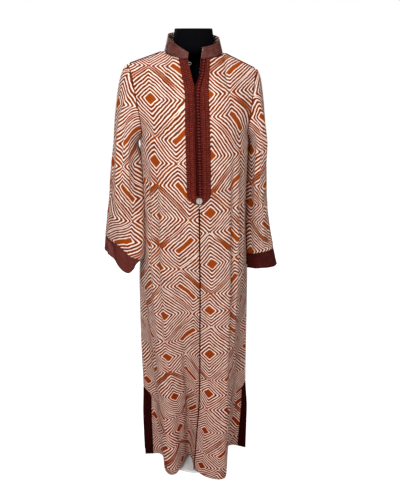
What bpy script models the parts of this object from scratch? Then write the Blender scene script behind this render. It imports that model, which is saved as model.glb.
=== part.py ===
"""A long printed djellaba robe, filled out on a limbless dress form with a round base.

Metres, +Z up. The origin is the middle of the base, on the floor. +X is the viewer's
right and the front of the robe faces -Y, so "left" and "right" are the viewer's.
Every cloth piece is a surface worked out from the tables below and given its wall by
Solidify. A level runs from 0 at the hem to 1 at the chest and 2 at the shoulder and neck.
"""
import math

import bmesh
import bpy
from mathutils import Vector

# Cloth and seams
WALL = 0.0016
BAND_WALL = 0.0022
TRIM_WALL = 0.0014
FACING_WALL = 0.0012
GAP = 0.0003
LAY_GAP = 0.00045
SEAM_SET = 0.0004
SHOULDER_SET = 0.0012
CORD_RADIUS = 0.0012
CORD_HEM_GAP = 0.002
CORD_TRIM_GAP = 0.012
CORD_VENT_GAP = 0.004
SIDE_CORD_END_LEVEL = 0.985
SHOULDER_CORD_SHARES = (0.10, 0.5, 0.96)

# Heights of the robe
HEM_Z = 0.030
CHEST_Z = 1.240
FOLD_TOP_Z = 1.150
FOLD_EASE = 1.5
VENT_TOP_Z = 0.345
VENT_MOUTH = 0.012
SIDE_Y = -0.015
SECTION_POWER = 2.35
YOKE_FULL = 0.013
YOKE_FULL_POWER = 1.7
YOKE_FULL_RISE = 0.5

# Front opening and its trim
TRIM_END_Z = 1.0855
TRIM_WIDTH = 0.033
TRIM_TOP_WIDTH = 0.0265
TRIM_TOP_LEVEL = 1.975
TRIM_END_SHARES = (0.04, 0.15, 0.35, 0.62, 1.0)
KNOT_ROW_WIDTH = 0.010
KNOT_ROW_HEIGHT = 0.0034
KNOT_ROW_END_Z = 1.112
KNOT_ROW_LIFT = 0.0016
OPENING_LEVEL = 1.55
OPENING_REACH = 0.3
DISC_Z = 1.0975
DISC_RADIUS = 0.0088
DISC_THICK = 0.0045
EYE_LEVEL = 1.93
EYE_RADIUS = 0.0030
EYE_WIRE = 0.0006
EYE_REACH = 0.0040

# Vent facings
FACING_WIDTH = 0.031
FACING_SLANT = 0.034
FACING_GAP = 0.001

# Dress form and stand
FORM_CLEAR = 0.0019
POLE_RADIUS = 0.012
POLE_TOP_Z = 0.7797
BASE_RADIUS = 0.110
BASE_THICK = 0.008
SOCKET_RADIUS = 0.026
SOCKET_TOP_Z = 0.055

# Numbers of columns and rows
DENSE = 48
MIDDLE_COLUMNS = 8
BACK_COLUMNS = 11
RING_POINTS = 24
FRONT, BACK = 1, -1
LEFT, RIGHT = -1, 1
SIDE_NAME = {LEFT: "left", RIGHT: "right"}

# Body sections: height, left half width, right half width, front depth, back depth,
# sideways drift of the centre line.
BODY = (
    (0.030, 0.192, 0.200, 0.128, 0.136, -0.009),
    (0.218, 0.190, 0.198, 0.132, 0.132, 0.001),
    (0.347, 0.184, 0.187, 0.137, 0.128, 0.008),
    (0.500, 0.180, 0.181, 0.142, 0.122, 0.009),
    (0.650, 0.177, 0.176, 0.147, 0.116, 0.008),
    (0.800, 0.173, 0.172, 0.152, 0.111, 0.007),
    (0.900, 0.165, 0.165, 0.157, 0.104, 0.005),
    (1.020, 0.158, 0.158, 0.163, 0.092, 0.003),
    (1.130, 0.157, 0.157, 0.168, 0.092, 0.001),
    (1.180, 0.157, 0.157, 0.168, 0.095, 0.000),
    (1.240, 0.158, 0.158, 0.161, 0.100, -0.001),
)

# Hem line from the centre to the side seam: x, y.
HEM = {
    (FRONT, LEFT): ((-0.009, -0.119), (-0.015, -0.066), (-0.028, -0.044), (-0.050, -0.084),
                    (-0.075, -0.131), (-0.102, -0.136), (-0.119, -0.106), (-0.122, -0.050),
                    (-0.136, -0.028), (-0.162, -0.021), (-0.192, -0.015)),
    (FRONT, RIGHT): ((-0.009, -0.119), (0.020, -0.150), (0.052, -0.167), (0.084, -0.174),
                     (0.104, -0.160), (0.113, -0.105), (0.118, -0.045), (0.130, -0.016),
                     (0.150, -0.007), (0.175, -0.010), (0.200, -0.015)),
    (BACK, LEFT): ((0.000, 0.112), (-0.024, 0.106), (-0.050, 0.124), (-0.078, 0.150),
                   (-0.106, 0.138), (-0.122, 0.098), (-0.140, 0.066), (-0.166, 0.060),
                   (-0.186, 0.036), (-0.192, -0.015)),
    (BACK, RIGHT): ((0.000, 0.112), (0.026, 0.128), (0.052, 0.152), (0.080, 0.146),
                    (0.100, 0.112), (0.120, 0.078), (0.146, 0.082), (0.172, 0.072),
                    (0.194, 0.034), (0.200, -0.015)),
}

# Centre lines above the chest: x, y, z, chest to neckline.
CENTRE = {
    (FRONT, LEFT): ((-0.001, -0.161, 1.240), (-0.002, -0.147, 1.305), (-0.003, -0.121, 1.377),
                    (-0.012, -0.099, 1.421), (-0.021, -0.076, 1.463)),
    (FRONT, RIGHT): ((-0.001, -0.161, 1.240), (-0.001, -0.147, 1.305), (0.000, -0.121, 1.377),
                     (0.007, -0.099, 1.421), (0.0135, -0.076, 1.463)),
    (BACK, LEFT): ((-0.001, 0.100, 1.240), (0.000, 0.106, 1.320), (0.000, 0.098, 1.400),
                   (0.000, 0.082, 1.455), (0.000, 0.064, 1.487)),
}
CENTRE[(BACK, RIGHT)] = CENTRE[(BACK, LEFT)]

# Armholes: x, front y, back y, z, armpit to shoulder tip.
ARMHOLE = {
    LEFT: ((-0.1580, -0.015, -0.015, 1.240), (-0.1520, -0.057, 0.026, 1.262),
           (-0.1535, -0.079, 0.045, 1.300), (-0.1605, -0.072, 0.045, 1.345),
           (-0.1700, -0.047, 0.032, 1.398), (-0.1780, -0.022, 0.016, 1.432),
           (-0.1830, 0.000, 0.000, 1.447)),
    RIGHT: ((0.1580, -0.015, -0.015, 1.240), (0.1500, -0.057, 0.026, 1.262),
            (0.1510, -0.079, 0.045, 1.300), (0.1570, -0.072, 0.045, 1.340),
            (0.1665, -0.047, 0.032, 1.388), (0.1740, -0.022, 0.016, 1.418),
            (0.1790, 0.000, 0.000, 1.4315)),
}
NECK_POINT = {LEFT: Vector((-0.080, 0.0, 1.4815)), RIGHT: Vector((0.080, 0.0, 1.4775))}

# Sleeves below the armpit: height, centre x, centre y, across, deep, turn in degrees,
# rise of the outer side, height of the pressed ridge. The last two rows are the cuff.
SLEEVE = {
    LEFT: ((1.232, -0.2000, -0.016, 0.0360, 0.064, 0, 0.000, 0.010),
           (1.160, -0.2050, -0.020, 0.0410, 0.062, 4, 0.002, 0.012),
           (1.060, -0.2115, -0.028, 0.0480, 0.056, 14, 0.006, 0.010),
           (0.970, -0.2215, -0.035, 0.0580, 0.046, 28, 0.012, 0.006),
           (0.907, -0.2300, -0.039, 0.0665, 0.036, 40, 0.018, 0.000),
           (0.865, -0.2385, -0.041, 0.0650, 0.040, 42, 0.020, 0.000)),
    RIGHT: ((1.232, 0.1880, -0.016, 0.0250, 0.069, 0, 0.000, 0.010),
            (1.160, 0.1895, -0.020, 0.0265, 0.067, 2, 0.000, 0.012),
            (1.060, 0.1945, -0.027, 0.0295, 0.064, 5, -0.002, 0.010),
            (0.965, 0.2030, -0.032, 0.0350, 0.058, 8, -0.001, 0.006),
            (0.882, 0.2125, -0.036, 0.0415, 0.052, 10, 0.000, 0.000),
            (0.834, 0.2210, -0.038, 0.0480, 0.050, 10, -0.004, 0.000)),
}
RIDGE_TURN = {LEFT: 78.0, RIGHT: 86.0}
RIDGE_SPREAD = 24.0
CAP_REACH = {LEFT: 0.40, RIGHT: 0.31}
CAP_DROP = 0.12
CAP_ARRIVE = (0.08, 0.90)
CAP_STEPS = (0.14, 0.30, 0.48, 0.66, 0.84)
TURN_SPREAD = 0.35
SLEEVE_STEPS = 3
ARMPIT_SET = 0.0004
TIP_SET = -0.0006

# Collar: turn from the front in degrees, base radius, top radius, base z, top z.
COLLAR = (
    (-165, 0.0790, 0.0715, 1.4650, 1.4810),
    (-150, 0.0785, 0.0700, 1.4655, 1.4905),
    (-120, 0.0790, 0.0690, 1.4740, 1.5080),
    (-90, 0.0800, 0.0700, 1.4835, 1.5235),
    (-45, 0.0720, 0.0630, 1.4880, 1.5290),
    (0, 0.0660, 0.0580, 1.4895, 1.5310),
    (45, 0.0720, 0.0630, 1.4855, 1.5250),
    (90, 0.0800, 0.0705, 1.4795, 1.5155),
    (120, 0.0790, 0.0690, 1.4725, 1.5040),
    (150, 0.0785, 0.0700, 1.4655, 1.4960),
    (170, 0.0780, 0.0705, 1.4650, 1.4930),
)
COLLAR_LIFT = 0.0004
COLLAR_STEPS = 30

# Dress form rings below the shoulder: height, half width, front depth, back depth, tilt.
FORM = (
    (0.780, 0.112, 0.088, 0.068, 0.00),
    (0.786, 0.126, 0.100, 0.080, 0.00),
    (0.810, 0.140, 0.112, 0.090, 0.00),
    (0.870, 0.144, 0.116, 0.090, 0.00),
    (0.950, 0.132, 0.122, 0.080, 0.00),
    (1.030, 0.122, 0.132, 0.072, 0.00),
    (1.110, 0.130, 0.150, 0.076, 0.00),
    (1.180, 0.138, 0.155, 0.082, 0.00),
    (1.250, 0.142, 0.142, 0.086, -0.01),
    (1.320, 0.146, 0.112, 0.084, -0.02),
    (1.370, 0.154, 0.082, 0.068, -0.03),
    (1.404, 0.163, 0.050, 0.044, -0.04),
)
# Shoulder rings of the form: half width, front depth, back depth.
FORM_SHOULDER = ((0.168, 0.012, 0.012), (0.150, 0.012, 0.012), (0.115, 0.012, 0.012),
                 (0.086, 0.014, 0.014), (0.074, 0.034, 0.034), (0.062, 0.054, 0.052))
# Neck rings of the form: height, half width, half depth.
FORM_NECK = ((1.500, 0.057, 0.053), (1.520, 0.0545, 0.052), (1.539, 0.0515, 0.050))

# Colour, roughness and metallic of each finish
FINISH = {
    "print": ((0.62, 0.33, 0.19), 0.75, 0.0),
    "satin": ((0.12, 0.035, 0.025), 0.45, 0.0),
    "braid": ((0.17, 0.04, 0.022), 0.60, 0.0),
    "cord": ((0.06, 0.015, 0.012), 0.60, 0.0),
    "disc": ((0.55, 0.52, 0.48), 0.30, 0.6),
    "form": ((0.006, 0.006, 0.008), 0.80, 0.0),
    "metal": ((0.60, 0.60, 0.60), 0.30, 1.0),
    "lacquer": ((0.80, 0.80, 0.79), 0.40, 0.0),
}


def lerp(start, end, share):
    return start + (end - start) * share


def smooth_step(share):
    share = min(1.0, max(0.0, share))
    return share * share * (3.0 - 2.0 * share)


def read(table, at, column):
    """One column of a table at a value of its first column, on a smooth curve."""
    at = min(max(at, table[0][0]), table[-1][0])
    index = 0
    while index < len(table) - 2 and table[index + 1][0] < at:
        index += 1
    low, high = table[index], table[index + 1]
    before = table[max(index - 1, 0)]
    after = table[min(index + 2, len(table) - 1)]
    span = high[0] - low[0]
    share = (at - low[0]) / span
    slope_low = (high[column] - before[column]) / (high[0] - before[0]) * span
    slope_high = (after[column] - low[column]) / (after[0] - low[0]) * span
    square, cube = share ** 2, share ** 3
    return (low[column] * (2 * cube - 3 * square + 1) + slope_low * (cube - 2 * square + share)
            + high[column] * (3 * square - 2 * cube) + slope_high * (cube - square))


def through(points, count):
    """A smooth path through points, as count + 1 points at even distances."""
    fine = []
    for index in range(len(points) - 1):
        before = points[max(index - 1, 0)]
        low, high = points[index], points[index + 1]
        after = points[min(index + 2, len(points) - 1)]
        for step in range(8):
            t = step / 8
            fine.append(0.5 * (2 * low + (high - before) * t
                               + (2 * before - 5 * low + 4 * high - after) * t ** 2
                               + (3 * low - before - 3 * high + after) * t ** 3))
    fine.append(points[-1].copy())
    return [at_share(fine, step / count) for step in range(count + 1)]


def length_of(path):
    return sum((b - a).length for a, b in zip(path, path[1:]))


def at_distance(path, distance):
    """The point of a path at a distance from its start."""
    for a, b in zip(path, path[1:]):
        step = (b - a).length
        if distance <= step or b is path[-1]:
            return a.lerp(b, distance / step)
        distance -= step


def at_share(path, share):
    return at_distance(path, share * length_of(path))


def plain_section(face, side, height):
    """The body's rounded section before folds, centre to side seam, at even distances."""
    width = read(BODY, height, 1 if side == LEFT else 2)
    depth = read(BODY, height, 3 if face == FRONT else 4)
    reach = depth + SIDE_Y * face
    path = []
    for step in range(DENSE + 1):
        turn = math.pi / 2 * step / DENSE
        across = math.sin(turn) ** (2 / SECTION_POWER)
        deep = max(math.cos(turn), 0.0) ** (2 / SECTION_POWER)
        path.append(Vector((side * width * across, SIDE_Y - face * reach * deep, height)))
    path = [at_share(path, step / DENSE) for step in range(DENSE + 1)]
    drift = read(BODY, height, 5)
    for step, point in enumerate(path):
        point.x += drift * (1 - step / DENSE) ** 2
    return path


def hem_folds(face, side):
    """How far the hem's folds move each point of the plain section."""
    hem = through([Vector((x, y, HEM_Z)) for x, y in HEM[(face, side)]], DENSE)
    plain = plain_section(face, side, HEM_Z)
    return [folded - point for folded, point in zip(hem, plain)]


FOLDS = {key: hem_folds(*key) for key in HEM}


def skirt_row(face, side, height):
    """A level line of a body panel from the centre to the side seam, with its folds."""
    growth = max(0.0, (FOLD_TOP_Z - height) / (FOLD_TOP_Z - HEM_Z)) ** FOLD_EASE
    vent = max(0.0, (VENT_TOP_Z - height) / (VENT_TOP_Z - HEM_Z)) * VENT_MOUTH
    row = []
    for step, point in enumerate(plain_section(face, side, height)):
        share = step / DENSE
        point = point + FOLDS[(face, side)][step] * growth
        point.x += side * SEAM_SET * (1 - share) ** 8 * (1 if face == FRONT else 0)
        point.y -= face * (SEAM_SET + vent) * share ** 8
        row.append(point)
    return row


def armhole_edge(face, side):
    column = 1 if face == FRONT else 2
    points = [Vector((row[0], row[column], row[3])) for row in ARMHOLE[side]]
    points[0].y -= face * SEAM_SET
    points[-1].y -= face * SHOULDER_SET
    return through(points, DENSE)


def top_edge(face, side):
    """The neckline from the centre to the neck point, then the shoulder seam."""
    start = Vector(CENTRE[(face, side)][-1])
    neck = NECK_POINT[side]
    first_turn = math.asin(min(1.0, abs(start.x) / abs(neck.x)))
    path = []
    for step in range(DENSE + 1):
        turn = lerp(first_turn, math.pi / 2, step / DENSE)
        fall = math.cos(turn) / math.cos(first_turn)
        path.append(Vector((neck.x * math.sin(turn), start.y * fall,
                            lerp(neck.z, start.z, fall))))
    path[-1].y = -face * SHOULDER_SET
    path.append(armhole_edge(face, side)[-1])
    return [at_share(path, step / DENSE) for step in range(DENSE + 1)]


CHEST_ROWS = {key: skirt_row(*key, CHEST_Z) for key in HEM}
TOP_EDGES = {key: top_edge(*key) for key in HEM}
ARMHOLES = {key: armhole_edge(*key) for key in HEM}
CENTRES = {}
for key, points in CENTRE.items():
    edge = [Vector(point) for point in points]
    edge[0] = CHEST_ROWS[key][0]
    CENTRES[key] = through(edge, DENSE)


def yoke_row(face, side, rise):
    """A row above the chest, blended between the four edges of the upper panel."""
    key = (face, side)
    chest, top = CHEST_ROWS[key], TOP_EDGES[key]
    centre = at_share(CENTRES[key], rise)
    armhole = at_share(ARMHOLES[key], rise)
    row = []
    for step in range(DENSE + 1):
        share = step / DENSE
        corners = (chest[0] * (1 - share) * (1 - rise) + chest[-1] * share * (1 - rise)
                   + top[0] * (1 - share) * rise + top[-1] * share * rise)
        point = (centre * (1 - share) + armhole * share
                 + chest[step] * (1 - rise) + top[step] * rise - corners)
        swell = math.sin(math.pi * share) ** 2 * math.sin(math.pi * rise ** YOKE_FULL_POWER)
        fullness = YOKE_FULL * swell
        row.append(point + Vector((0.0, -face * fullness, fullness * YOKE_FULL_RISE)))
    return row


def panel_row(face, side, level):
    if level <= 1.0:
        return skirt_row(face, side, lerp(HEM_Z, CHEST_Z, level))
    return yoke_row(face, side, level - 1.0)


def level_of(height):
    """The level of a height below the chest."""
    return (height - HEM_Z) / (CHEST_Z - HEM_Z)


def front_columns(length):
    """Distances from the centre: the trim's lines, even steps, then the facing's lines."""
    first, last = TRIM_WIDTH, length - FACING_WIDTH
    middle = [lerp(first, last, step / MIDDLE_COLUMNS) for step in range(MIDDLE_COLUMNS + 1)]
    return [0.0, first / 2] + middle + [length - FACING_WIDTH / 2, length]


def back_columns(length):
    last = length - FACING_WIDTH
    even = [last * step / BACK_COLUMNS for step in range(BACK_COLUMNS + 1)]
    return even + [length - FACING_WIDTH / 2, length]


VENT_LEVEL = level_of(VENT_TOP_Z)
SKIRT_LEVELS = ([lerp(0.0, VENT_LEVEL, step / 5) for step in range(5)]
                + [lerp(VENT_LEVEL, 1.0, step / 14) for step in range(14)])
YOKE_RISES = (0.0, 0.12, 0.25, 0.38, 0.50, 0.61, 0.71, 0.80, 0.88, 0.95, 1.0)
YOKE_LEVELS = [1.0 + rise for rise in YOKE_RISES]
LEVELS = SKIRT_LEVELS + YOKE_LEVELS


def panel_grid(face, side, levels, columns):
    """Rows of points of a panel; columns gives the distances for a row's length."""
    grid = []
    for level in levels:
        row = panel_row(face, side, level)
        grid.append([at_distance(row, distance) for distance in columns(length_of(row))])
    return grid


def moved_out(grid, face, side, distance):
    """The grid moved outwards along its own normals."""
    moved = []
    last_row, last_column = len(grid) - 1, len(grid[0]) - 1
    for j, row in enumerate(grid):
        line = []
        for i, point in enumerate(row):
            along = row[min(i + 1, last_column)] - row[max(i - 1, 0)]
            up = grid[min(j + 1, last_row)][i] - grid[max(j - 1, 0)][i]
            normal = along.cross(up).normalized() * side * face
            line.append(point + normal * distance)
        moved.append(line)
    return moved


def material(name):
    if name in bpy.data.materials:
        return bpy.data.materials[name]
    colour, roughness, metallic = FINISH[name]
    made = bpy.data.materials.new(name)
    made.use_nodes = True
    shader = made.node_tree.nodes["Principled BSDF"]
    shader.inputs["Base Color"].default_value = (*colour, 1.0)
    shader.inputs["Roughness"].default_value = roughness
    shader.inputs["Metallic"].default_value = metallic
    made.diffuse_color = (*colour, 1.0)
    return made


def add_object(name, data, finish):
    made = bpy.data.objects.new(name, data)
    data.materials.append(material(finish))
    ROBE.objects.link(made)
    return made


def grid_mesh(name, grid, flip, closed=False):
    """A mesh of the grid's quads; closed joins each row's last point to its first."""
    mesh = bpy.data.meshes.new(name)
    width = len(grid[0])
    faces = []
    for j in range(len(grid) - 1):
        for i in range(width if closed else width - 1):
            near, far = j * width, (j + 1) * width
            after = (i + 1) % width
            face = (near + i, near + after, far + after, far + i)
            faces.append(face[::-1] if flip else face)
    mesh.from_pydata([point for row in grid for point in row], [], faces)
    mesh.shade_smooth()
    return mesh


def cloth(name, grid, finish, wall, flip, closed=False):
    """A cloth wall of even thickness about the grid's surface."""
    made = add_object(name, grid_mesh(name, grid, flip, closed), finish)
    shell = made.modifiers.new("wall", "SOLIDIFY")
    shell.thickness = wall
    shell.offset = 0.0
    return made


def cord(name, path, finish, radius):
    """A thin seam cord along a path."""
    curve = bpy.data.curves.new(name, "CURVE")
    curve.dimensions = "3D"
    curve.bevel_depth = radius
    curve.bevel_resolution = 1
    curve.use_fill_caps = True
    spline = curve.splines.new("POLY")
    spline.points.add(len(path) - 1)
    for slot, point in zip(spline.points, path):
        slot.co = (*point, 1.0)
    return add_object(name, curve, finish)


def bar(name, path, sideways, outward, width, height, finish):
    """A low bar with a rounded top, lofted along a path."""
    shape = ((-0.5, 0.0), (-0.5, 0.4), (-0.25, 0.9), (0.25, 0.9), (0.5, 0.4), (0.5, 0.0))
    rings = []
    for point, across, out in zip(path, sideways, outward):
        rings.append([point + across * width * x + out * height * y for x, y in shape])
    return add_object(name, closed_loft(name, rings), finish)


def closed_loft(name, rings):
    """A closed body through rings with the same number of points."""
    mesh = grid_mesh(name, rings, False, closed=True)
    shape = bmesh.new()
    shape.from_mesh(mesh)
    shape.verts.ensure_lookup_table()
    width = len(rings[0])
    shape.faces.new([shape.verts[i] for i in range(width)])
    shape.faces.new([shape.verts[len(shape.verts) - 1 - i] for i in range(width)])
    bmesh.ops.recalc_face_normals(shape, faces=shape.faces)
    shape.to_mesh(mesh)
    shape.free()
    return mesh


def make_panels():
    for side in (LEFT, RIGHT):
        grid = panel_grid(FRONT, side, LEVELS, front_columns)
        cloth("front_" + SIDE_NAME[side], grid, "print", WALL, side == LEFT)
    left = panel_grid(BACK, LEFT, LEVELS, back_columns)
    right = panel_grid(BACK, RIGHT, LEVELS, back_columns)
    grid = [row_left[:0:-1] + row_right for row_left, row_right in zip(left, right)]
    cloth("back_panel", grid, "print", WALL, True)


def sleeve_ring(side, row):
    """One ring of a sleeve below the armpit: the outer side first, then the front."""
    height, centre_x, centre_y, across, deep, turn, rise, ridge = row
    turn = math.radians(turn)
    ring = []
    for step in range(RING_POINTS):
        angle = 360.0 * step / RING_POINTS
        swell = ridge * math.exp(-((angle - RIDGE_TURN[side]) / RIDGE_SPREAD) ** 2)
        x = across * math.cos(math.radians(angle))
        y = (deep + swell) * math.sin(math.radians(angle))
        outer = x * math.cos(turn) + y * math.sin(turn) * TURN_SPREAD
        front = y * math.cos(turn) - x * math.sin(turn)
        ring.append(Vector((centre_x + side * outer, centre_y - front,
                            height + rise * math.cos(math.radians(angle)))))
    return ring


def armhole_ring(side):
    """The armhole as a ring of the sleeve, set just outside the panels' edges."""
    front, back = ARMHOLES[(FRONT, side)], ARMHOLES[(BACK, side)]
    path = front[::-1] + back[1:]
    ring = []
    low, high = ARMHOLE[side][0][3], ARMHOLE[side][-1][3]
    for step in range(RING_POINTS):
        point = at_share(path + [path[0]], step / RING_POINTS)
        share = (point.z - low) / (high - low)
        point.x += side * (WALL + GAP + lerp(ARMPIT_SET, TIP_SET, share))
        ring.append(point)
    return ring


def sleeve_grid(side, rows):
    """Rings from the armhole down to the last row: a curved cap, then the tube."""
    start, end = armhole_ring(side), sleeve_ring(side, rows[0])
    grid = [start]
    for t in CAP_STEPS:
        ring = []
        for a, b in zip(start, end):
            reach = (b - a).length
            leave = Vector((side * CAP_REACH[side], 0.0, -CAP_DROP)) * reach
            arrive = Vector((side * CAP_ARRIVE[0], 0.0, -CAP_ARRIVE[1])) * reach
            square, cube = t ** 2, t ** 3
            ring.append(a * (2 * cube - 3 * square + 1) + leave * (cube - 2 * square + t)
                        + b * (3 * square - 2 * cube) + arrive * (cube - square))
        grid.append(ring)
    for low, high in zip(rows, rows[1:]):
        for step in range(SLEEVE_STEPS):
            height = lerp(low[0], high[0], step / SLEEVE_STEPS)
            falling = tuple(reversed(rows))
            row = (height,) + tuple(read(falling, height, column) for column in range(1, 8))
            grid.append(sleeve_ring(side, row))
    grid.append(sleeve_ring(side, rows[-1]))
    return grid


def make_sleeves():
    for side in (LEFT, RIGHT):
        rows = SLEEVE[side]
        cloth("sleeve_" + SIDE_NAME[side], sleeve_grid(side, rows[:-1]), "print", WALL,
              side == RIGHT, closed=True)
        top, bottom = sleeve_ring(side, rows[-2]), sleeve_ring(side, rows[-1])
        drop = (bottom[0] - top[0]).length
        start = GAP / drop
        grid = [[a.lerp(b, share) for a, b in zip(top, bottom)] for share in (start, 0.5, 1.0)]
        cloth("cuff_" + SIDE_NAME[side], grid, "satin", BAND_WALL, side == RIGHT, closed=True)


def make_collar():
    base, top = [], []
    first, last = COLLAR[0][0], COLLAR[-1][0]
    for step in range(COLLAR_STEPS + 1):
        degrees = lerp(first, last, step / COLLAR_STEPS)
        turn = math.radians(degrees)
        direction = Vector((math.sin(turn), math.cos(turn), 0.0))
        low, high = read(COLLAR, degrees, 1), read(COLLAR, degrees, 2)
        base.append(direction * low + Vector((0, 0, read(COLLAR, degrees, 3) + COLLAR_LIFT)))
        top.append(direction * high + Vector((0, 0, read(COLLAR, degrees, 4))))
    middle = [a.lerp(b, 0.5) for a, b in zip(base, top)]
    cloth("collar", [base, middle, top], "satin", BAND_WALL, True)


def trim_levels():
    low = level_of(TRIM_END_Z)
    rounded = [low + level_of(HEM_Z + TRIM_WIDTH * share) for share in TRIM_END_SHARES]
    body = [level for level in LEVELS if rounded[-1] + 0.01 < level < TRIM_TOP_LEVEL - 0.02]
    return rounded + body + [TRIM_TOP_LEVEL]


def trim_width(level):
    """The trim is wider below than at the neck and ends in a half circle."""
    height_above_end = (level - level_of(TRIM_END_Z)) * (CHEST_Z - HEM_Z)
    full = lerp(TRIM_WIDTH, TRIM_TOP_WIDTH, smooth_step((level - 1.3) / 0.7))
    if height_above_end >= TRIM_WIDTH or level > 1.0:
        return full
    return math.sqrt(TRIM_WIDTH ** 2 - (TRIM_WIDTH - height_above_end) ** 2)


def make_trims():
    lift = WALL / 2 + LAY_GAP + TRIM_WALL / 2
    for side in (LEFT, RIGHT):
        grid = []
        for level in trim_levels():
            row = panel_row(FRONT, side, level)
            width = trim_width(level)
            grid.append([at_distance(row, width * step / 3) for step in range(4)])
        grid = moved_out(grid, FRONT, side, lift)
        cloth("trim_" + SIDE_NAME[side], grid, "braid", TRIM_WALL, side == LEFT)


def seam_line(level):
    """Centre of the front opening's right edge, with its across and outward directions."""
    row = panel_row(FRONT, RIGHT, level)
    opening = smooth_step((level - OPENING_LEVEL) / OPENING_REACH)
    start = row[0].lerp(panel_row(FRONT, LEFT, level)[0], 0.5 * (1 - opening))
    across = (at_distance(row, 0.02) - row[0]).normalized()
    up = (panel_row(FRONT, RIGHT, level - 0.01)[0] - row[0]) * -1
    outward = across.cross(up).normalized()
    return start + across * KNOT_ROW_WIDTH * 0.5 * opening, across, outward


def make_knot_row():
    lift = WALL / 2 + LAY_GAP + TRIM_WALL + KNOT_ROW_LIFT
    start = level_of(KNOT_ROW_END_Z)
    body = [level for level in LEVELS if start + 0.02 < level < TRIM_TOP_LEVEL - 0.02]
    lines = [seam_line(level) for level in [start] + body + [TRIM_TOP_LEVEL]]
    path = [point + out * lift for point, across, out in lines]
    bar("knot_row", path, [line[1] for line in lines], [line[2] for line in lines],
        KNOT_ROW_WIDTH, KNOT_ROW_HEIGHT, "cord")


def make_disc():
    point, across, out = seam_line(level_of(DISC_Z))
    lift = WALL / 2 + LAY_GAP * 2 + TRIM_WALL + DISC_THICK / 2
    bpy.ops.mesh.primitive_cylinder_add(vertices=24, radius=DISC_RADIUS, depth=DISC_THICK)
    disc = bpy.context.object
    disc.name = disc.data.name = "disc_button"
    disc.location = point + out * lift
    disc.rotation_euler = out.to_track_quat("Z", "Y").to_euler()
    disc.data.materials.append(material("disc"))
    rim = disc.modifiers.new("rim", "BEVEL")
    rim.width = 0.0010
    rim.segments = 2
    bpy.context.collection.objects.unlink(disc)
    ROBE.objects.link(disc)


def make_eye_loop():
    """The small wire eye that fastens the neck, at the left trim's inner edge."""
    row = panel_row(FRONT, LEFT, EYE_LEVEL)
    across = (row[0] - at_distance(row, 0.01)).normalized()
    bpy.ops.mesh.primitive_torus_add(major_radius=EYE_RADIUS, minor_radius=EYE_WIRE,
                                     major_segments=16, minor_segments=6)
    loop = bpy.context.object
    loop.name = loop.data.name = "eye_loop"
    loop.location = row[0] + across * EYE_REACH
    loop.rotation_euler = (math.radians(90), 0, 0)
    loop.data.materials.append(material("metal"))
    bpy.context.collection.objects.unlink(loop)
    ROBE.objects.link(loop)


def make_seam_cords():
    lift = WALL / 2 + LAY_GAP + CORD_RADIUS
    path = []
    start, end = level_of(HEM_Z + CORD_HEM_GAP), level_of(TRIM_END_Z - CORD_TRIM_GAP)
    for step in range(25):
        point, across, out = seam_line(lerp(start, end, step / 24))
        path.append(point + out * lift)
    cord("centre_cord", path, "cord", CORD_RADIUS)
    for side in (LEFT, RIGHT):
        name = SIDE_NAME[side]
        tip = Vector(ARMHOLE[side][-1][:1] + (0.0,) + ARMHOLE[side][-1][3:])
        neck = NECK_POINT[side]
        up = Vector((0, 0, WALL / 2 + CORD_RADIUS))
        ends = [neck.lerp(tip, share) + up for share in SHOULDER_CORD_SHARES]
        cord("shoulder_cord_" + name, ends, "cord", CORD_RADIUS)
        path = []
        for step in range(19):
            level = lerp(level_of(VENT_TOP_Z + CORD_VENT_GAP), SIDE_CORD_END_LEVEL, step / 18)
            front = panel_row(FRONT, side, level)
            back = panel_row(BACK, side, level)
            between = front[-1].lerp(back[-1], 0.5)
            out = (between - front[-4]).normalized() + (between - back[-4]).normalized()
            out += Vector((side * 0.5, 0.0, 0.0))
            path.append(between + out.normalized() * lift)
        cord("side_cord_" + name, path, "cord", CORD_RADIUS)


def make_facings():
    """Satin bands on the outside of the panels, down both edges of each vent."""
    lift = WALL / 2 + FACING_GAP + FACING_WALL / 2
    for face, face_name in ((FRONT, "front"), (BACK, "back")):
        for side in (LEFT, RIGHT):
            grid = []
            for level in SKIRT_LEVELS[:6]:
                line = []
                for column in (2, 1, 0):
                    drop = FACING_SLANT * column / 2 if level == VENT_LEVEL else 0.0
                    row = panel_row(face, side, level - level_of(HEM_Z + drop))
                    distance = length_of(row) - FACING_WIDTH * column / 2
                    line.append(at_distance(row, distance))
                grid.append(line)
            grid = moved_out(grid, face, side, lift)
            cloth("facing_" + face_name + "_" + SIDE_NAME[side], grid, "satin", FACING_WALL,
                  side * face == LEFT)


def ring_around(height, half_width, front, back):
    ring = []
    for step in range(RING_POINTS):
        turn = 2 * math.pi * step / RING_POINTS
        deep = front if math.sin(turn) < 0 else back
        x = half_width * math.copysign(abs(math.cos(turn)) ** 0.9, math.cos(turn))
        y = deep * math.copysign(abs(math.sin(turn)) ** 0.9, math.sin(turn))
        ring.append(Vector((x, y, height)))
    return ring


def shoulder_height(side, half_width):
    """Height of the form's shoulder, just under the shoulder seam."""
    neck, tip = NECK_POINT[side], ARMHOLE[side][-1]
    share = max(0.0, (half_width - abs(neck.x)) / (abs(tip[0]) - abs(neck.x)))
    return lerp(neck.z, tip[3], share) - FORM_CLEAR


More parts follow.
